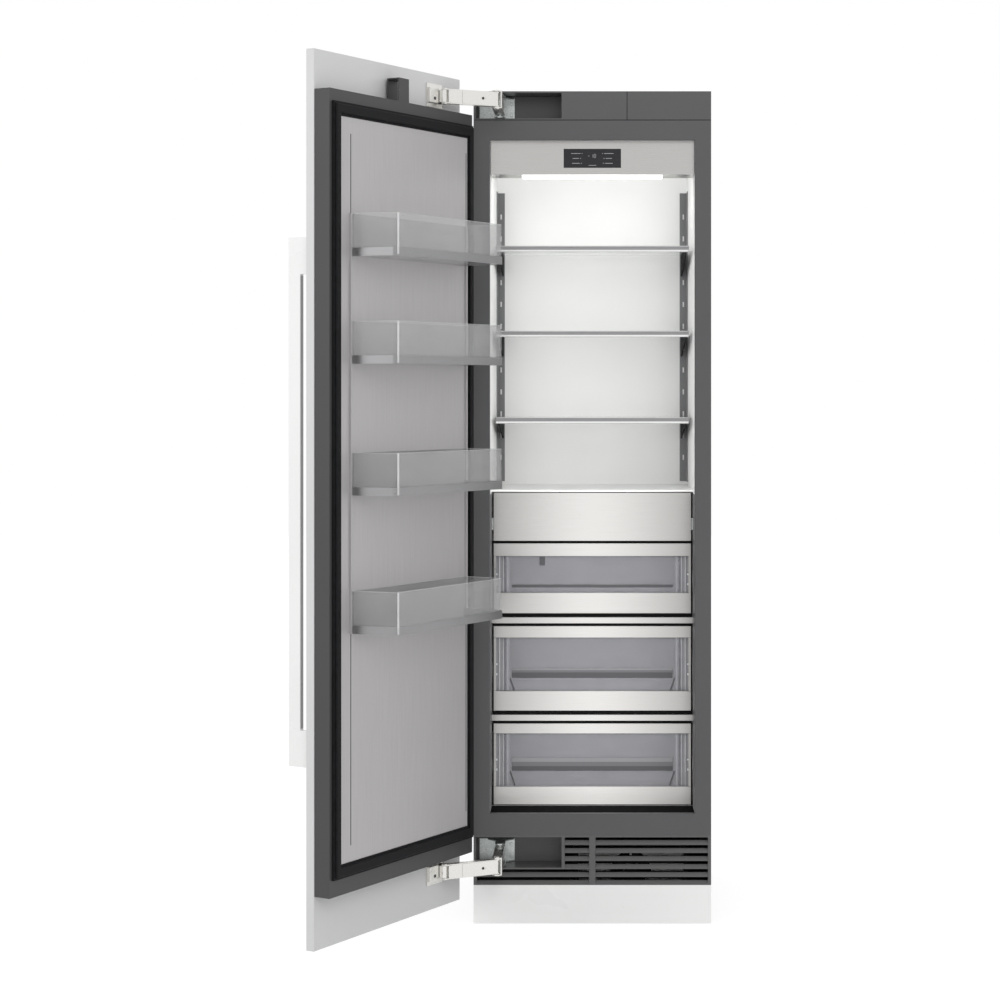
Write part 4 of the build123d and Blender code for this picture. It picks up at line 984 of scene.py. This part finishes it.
class FREEZER_OT_opening_painted_shade(bpy.types.Operator):
    """Lay painted shade in the opening round the drawers: grey strips over the liner's sides and a black
    strip on its sill
    """

    bl_idname = "freezer.opening_lining"
    bl_label = "Opening painted shade"

    def execute(self, context):
        low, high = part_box("liner")
        wall = 0.0026
        thickness = 0.0006
        left = low.x + wall
        right = high.x - wall
        near = low.y + 0.0005
        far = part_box("drawer_1_front")[0].y - 0.002
        sill = low.z + wall
        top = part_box("ice_deck")[0].z - 0.002
        inner = left + thickness
        # Grey strips over the liner's side walls beside the drawers, painted shade
        strips = [
            strip("side", (left, near, sill), (inner, far, top), 0.0002),
            strip("side", (right - thickness, near, sill), (right, far, top), 0.0002),
        ]
        dress(join(strips, "opening_lining"), "cabinet", "cabinet")
        # Black strip on the sill, a painted shadow, hidden from reflections, bounced light and shadows
        floor = strip("painted_sill_shadow", (inner, near, sill), (-inner, far, sill + thickness), 0.0002)
        floor.visible_glossy = False
        floor.visible_diffuse = False
        floor.visible_shadow = False
        dress(floor, "shadow_gap", "cabinet")
        return {"FINISHED"}


class FREEZER_OT_bin_lips_and_highlights(bpy.types.Operator):
    """Model the bright rims of the door bins, and a painted highlight down the free front corner of each bin
    """

    bl_idname = "freezer.bin_rims"
    bl_label = "Bin lips and painted highlights"

    def execute(self, context):
        lip_depth = 0.004
        lip_height = 0.0006
        # Free front corner of the bins, along the door and inward, where a strip is laid as a painted
        # highlight
        highlight_start = (0.4978, 0.1612)
        highlight_end = (0.5024, 0.1641)
        rims = []
        for number in (1, 2, 3, 4):
            node = f"door_bin_{number}"
            low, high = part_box(node)
            rims.append(top_lip(node, "rim", lip_depth, lip_height))
            start = (*highlight_start, low.z + 0.002)
            rims.append(door_strip("corner", start, (*highlight_end, high.z), 0.0006))
        dress(join(rims, "bin_rims"), "rim", "door")
        return {"FINISHED"}


class FREEZER_OT_door_lines(bpy.types.Operator):
    """Lay dark lines beside the bins and a grey strip on the back of the handle, both painted shade"""

    bl_idname = "freezer.door_lines"
    bl_label = "Door lines"

    def execute(self, context):
        low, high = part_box("door_liner")
        margin = 0.038
        half = 0.0008
        shade_lines = []
        # Dark lines at both sides of the liner, painted shade in the step beside each of its side ridges
        for across in (0.0452, 0.5248):
            start = (across - half, 0.0476, low.z + margin)
            end = (across + half, 0.0486, high.z - margin)
            shade_lines.append(door_strip("shade_line", start, end, 0.0002))
        dress(join(shade_lines, "liner_shade_lines"), "shadow_gap", "door")
        # Grey strip on the back of the handle's bar, painted shade on the face that turns to the panel
        low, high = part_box("handle")
        post = 0.0875
        start = (0.5688, -0.0542, low.z + post)
        end = (0.5792, -0.0532, high.z - post)
        dress(door_strip("handle_back_painted_shade", start, end, 0.0003), "painted_back_shade", "door")
        return {"FINISHED"}


# How far the dark strips painted as shade in the gaps round each drawer front reach below and above it
GAP_SHADE_REACH = {
    "drawer_1": (0.0022, 0.0065),
    "drawer_2": (0.0090, 0.0065),
    "drawer_3": (0.0090, 0.0060),
}

# Height of each step above its drawer front's lower edge, and its bands from there up, painted in shade that
# deepens downwards
STEP_SHADE_BANDS = {
    "drawer_1": (0.0865, {
        "step_painted_shade": (0.0, 0.012),
        "step_painted_half_shade": (0.012, 0.023),
        "step_painted_lit": (0.023, 0.034),
    }),
    "drawer_2": (0.0845, {
        "step_painted_shade": (0.0, 0.014),
        "step_painted_half_shade": (0.014, 0.020),
        "step_painted_lit": (0.020, 0.025),
    }),
    "drawer_3": (0.0669, {"step_painted_shade": (0.0, 0.007)}),
}


class FREEZER_OT_drawers(bpy.types.Operator):
    """Model the dark strips painted as shade round the drawer fronts, the rims, ribs and end pieces of the
    tubs, and the steps painted on their windows in lit and shaded bands
    """

    bl_idname = "freezer.drawers"
    bl_label = "Drawer details"

    def gap_shade(self, body):
        """Frame of dark strips round a drawer front, a little behind its face, painted shade in the gaps
        round it.
        """
        below, above = GAP_SHADE_REACH[body]
        low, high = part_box(f"{body}_front")
        near = low.y + 0.0015
        far = near + freezer_sizes().gap_shade_depth
        gap = 0.0002
        side = 0.0038
        left = low.x - side
        right = high.x + side
        runs = [
            strip("run", (left, near, low.z - below), (right, far, low.z - gap), 0.0004),
            strip("run", (left, near, high.z + gap), (right, far, high.z + above), 0.0004),
            strip("run", (left, near, low.z), (low.x - gap, far, high.z), 0.0004),
            strip("run", (high.x + gap, near, low.z), (right, far, high.z), 0.0004),
        ]
        return join(runs, f"{body}_front_gap_shade")

    def ribs(self, body):
        """Upright ribs at both ends of a tub's front wall."""
        low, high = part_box(f"{body}_tub")
        near = low.y + 0.0028
        far = near + 0.003
        half = 0.0012
        inset = 0.006
        ribs = []
        for side in (-1, 1):
            for distance in (0.241, 0.231, 0.219):
                start = (side * distance - half, near, low.z + inset)
                end = (side * distance + half, far, high.z - inset)
                ribs.append(strip("rib", start, end, 0.0004))
        return join(ribs, f"{body}_ribs")

    def ends(self, body):
        """Smoky end pieces of a tub, behind the ends of its window."""
        low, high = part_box(f"{body}_tub")
        near = low.y + 0.0062
        far = near + 0.002
        inset = 0.004
        pieces = []
        for side in (-1, 1):
            left, right = sorted((side * 0.214, side * 0.2505))
            pieces.append(strip("end", (left, near, low.z + inset), (right, far, high.z - inset), 0.0005))
        return join(pieces, f"{body}_tub_ends")

    def step_ends(self, near, far, base):
        """Leaning dark edges under the two ends of a step, painted shade."""
        half_width = 0.0018
        half_height = 0.0195
        distance = 0.2065
        drop = 0.0196
        slant = 0.32
        ends = []
        for side in (-1, 1):
            end = strip("end", (-half_width, near, -half_height), (half_width, far, half_height), 0.0002)
            lean = Matrix.Rotation(side * slant, 4, "Y")
            end.data.transform(Matrix.Translation((side * distance, 0, base - drop)) @ lean)
            ends.append(end)
        return ends

    def step(self, body):
        """Moulded step seen in a tub's window, painted on it in bands of shade that deepen downwards, with
        the upper drawer's latch.
        """
        rise, bands = STEP_SHADE_BANDS[body]
        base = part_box(f"{body}_front")[0].z + rise
        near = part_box(f"{body}_tub")[0].y - 0.0009
        far = near + 0.0007
        half = 0.208
        for name, (low, high) in bands.items():
            pieces = [strip("band", (-half, near, base + low), (half, far, base + high), 0.0002)]
            if body == "drawer_3":
                start = (-0.1366, near, base + 0.0571)
                end = (-0.1224, far, base + 0.0790)
                pieces.append(strip("latch", start, end, 0.0002))
            elif name == "step_painted_shade":
                pieces += self.step_ends(near, far, base)
            dress(join(pieces, f"{body}_{name}"), name, body)

    def execute(self, context):
        lip_depth = 0.004
        lip_height = 0.0005
        for body in GAP_SHADE_REACH:
            # Dark strips painted as shade in the gaps round the front
            dress(self.gap_shade(body), "shadow_gap", body)
            dress(top_lip(f"{body}_tub", f"{body}_rim", lip_depth, lip_height), "rim", body)
            dress(self.ribs(body), "rib", body)
            dress(self.ends(body), "tub_end", body)
            self.step(body)
        return {"FINISHED"}


def softbox(name, place, target, size, watts):
    """Area lamp that faces a point."""
    lamp = bpy.data.lights.new(name, "AREA")
    lamp.shape = "RECTANGLE"
    lamp.size = size[0]
    lamp.size_y = size[1]
    lamp.energy = watts
    box = bpy.data.objects.new(name, lamp)
    box.location = place
    box.rotation_euler = (Vector(place) - Vector(target)).to_track_quat("Z", "Y").to_euler()
    bpy.context.scene.collection.objects.link(box)
    return box


class FREEZER_OT_stage(bpy.types.Operator):
    """Set up the white studio: floor, light and camera"""

    bl_idname = "freezer.stage"
    bl_label = "Stage"

    def floor(self):
        """White floor, a hair below the feet."""
        clear_selection()
        bpy.ops.mesh.primitive_plane_add(size=30, location=(0, 0, -0.0004))
        floor = named("studio_floor")
        bpy.ops.object.transform_apply(location=True, rotation=False, scale=False)
        paint(floor, white_stage("studio_floor", 0.84))

    def room(self, scene, room_light):
        """White room that shows at full strength and lights at the strength of the room light."""
        world = bpy.data.worlds.new("studio")
        scene.world = world
        world.use_nodes = True
        tree = world.node_tree
        background = tree.nodes["Background"]
        background.inputs["Color"].default_value = (1, 1, 1, 1)
        strength = spread(tree, seen_rays(tree), 0.0, 1.0, room_light, 1.0)
        tree.links.new(strength, background.inputs["Strength"])

    def lamps(self, levels):
        """Two softboxes in front, and a lamp and a soft fill inside the freezer."""
        front = softbox("front_softbox", (0.3, -5.2, 3.4), (0, 0.2, 1.1), (3.0, 2.0), levels.front_power)
        softbox("side_softbox", (-3.6, -2.6, 2.4), (0, 0.1, 1.1), (1.5, 2.4), levels.side_power)
        low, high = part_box("light_panel")
        under = (low + high) / 2
        under.z = low.z - 0.035
        aim = under + Vector((0, 0.4, -0.03))
        inside = softbox("interior_lamp", under, aim, (0.40, 0.05), levels.interior_power)
        fill = softbox("shelf_fill", (0, 0.02, 1.02), (0, 0.6, 1.02), (0.46, 1.45), levels.fill_power)
        for lamp in (inside, fill):
            lamp.visible_camera = False
        for lamp in (front, inside, fill):
            lamp.visible_glossy = False

    def camera(self, scene, levels):
        """Level camera with a shifted lens, as in the photograph."""
        camera = bpy.data.cameras.new("studio_camera")
        camera.sensor_width = 36
        camera.lens = 80.17
        camera.shift_x = -0.091
        camera.shift_y = -0.110
        viewer = bpy.data.objects.new("studio_camera", camera)
        viewer.location = (-0.0034, -levels.view_distance, levels.view_height)
        viewer.rotation_euler = (math.pi / 2, 0, 0)
        scene.collection.objects.link(viewer)
        scene.camera = viewer
        scene.view_settings.view_transform = "Standard"

    def execute(self, context):
        scene = context.scene
        levels = scene.studio_levels
        self.floor()
        self.room(scene, levels.room_light)
        self.lamps(levels)
        self.camera(scene, levels)
        return {"FINISHED"}


class FREEZER_PT_panel(bpy.types.Panel):
    """Sizes, colours and pieces of the freezer"""

    bl_idname = "FREEZER_PT_panel"
    bl_label = "Freezer column"
    bl_space_type = "VIEW_3D"
    bl_region_type = "UI"
    bl_category = "Freezer"

    def draw(self, context):
        layout = self.layout
        for group in GROUPS:
            settings = getattr(context.scene, group)
            column = layout.column()
            for name in settings.__annotations__:
                column.prop(settings, name)
        for operator in OPERATORS:
            layout.operator(operator.bl_idname)


GROUPS = {
    "freezer_colours": FreezerColours,
    "freezer_sizes": FreezerSizes,
    "studio_levels": StudioLevels,
}

OPERATORS = (
    FREEZER_OT_finishes,
    FREEZER_OT_screws,
    FREEZER_OT_rivets,
    FREEZER_OT_arm_covers,
    FREEZER_OT_door_blocks,
    FREEZER_OT_display_marks,
    FREEZER_OT_seams,
    FREEZER_OT_shelf_painted_highlights,
    FREEZER_OT_opening_painted_shade,
    FREEZER_OT_bin_lips_and_highlights,
    FREEZER_OT_door_lines,
    FREEZER_OT_drawers,
    FREEZER_OT_stage,
)


def register():
    for name, group in GROUPS.items():
        bpy.utils.register_class(group)
        setattr(bpy.types.Scene, name, bpy.props.PointerProperty(type=group))
    for operator in OPERATORS:
        bpy.utils.register_class(operator)
    bpy.utils.register_class(FREEZER_PT_panel)


def unregister():
    bpy.utils.unregister_class(FREEZER_PT_panel)
    for operator in reversed(OPERATORS):
        bpy.utils.unregister_class(operator)
    for name, group in GROUPS.items():
        delattr(bpy.types.Scene, name)
        bpy.utils.unregister_class(group)


def main():
    register()
    bpy.ops.freezer.finishes()
    bpy.ops.freezer.screws()
    bpy.ops.freezer.rivets()
    bpy.ops.freezer.arm_covers()
    bpy.ops.freezer.door_blocks()
    bpy.ops.freezer.display_marks()
    bpy.ops.freezer.seams()
    bpy.ops.freezer.shelf_beads()
    bpy.ops.freezer.opening_lining()
    bpy.ops.freezer.bin_rims()
    bpy.ops.freezer.door_lines()
    bpy.ops.freezer.drawers()
    bpy.ops.freezer.stage()
    clear_selection()


if __name__ == "__main__":
    main()
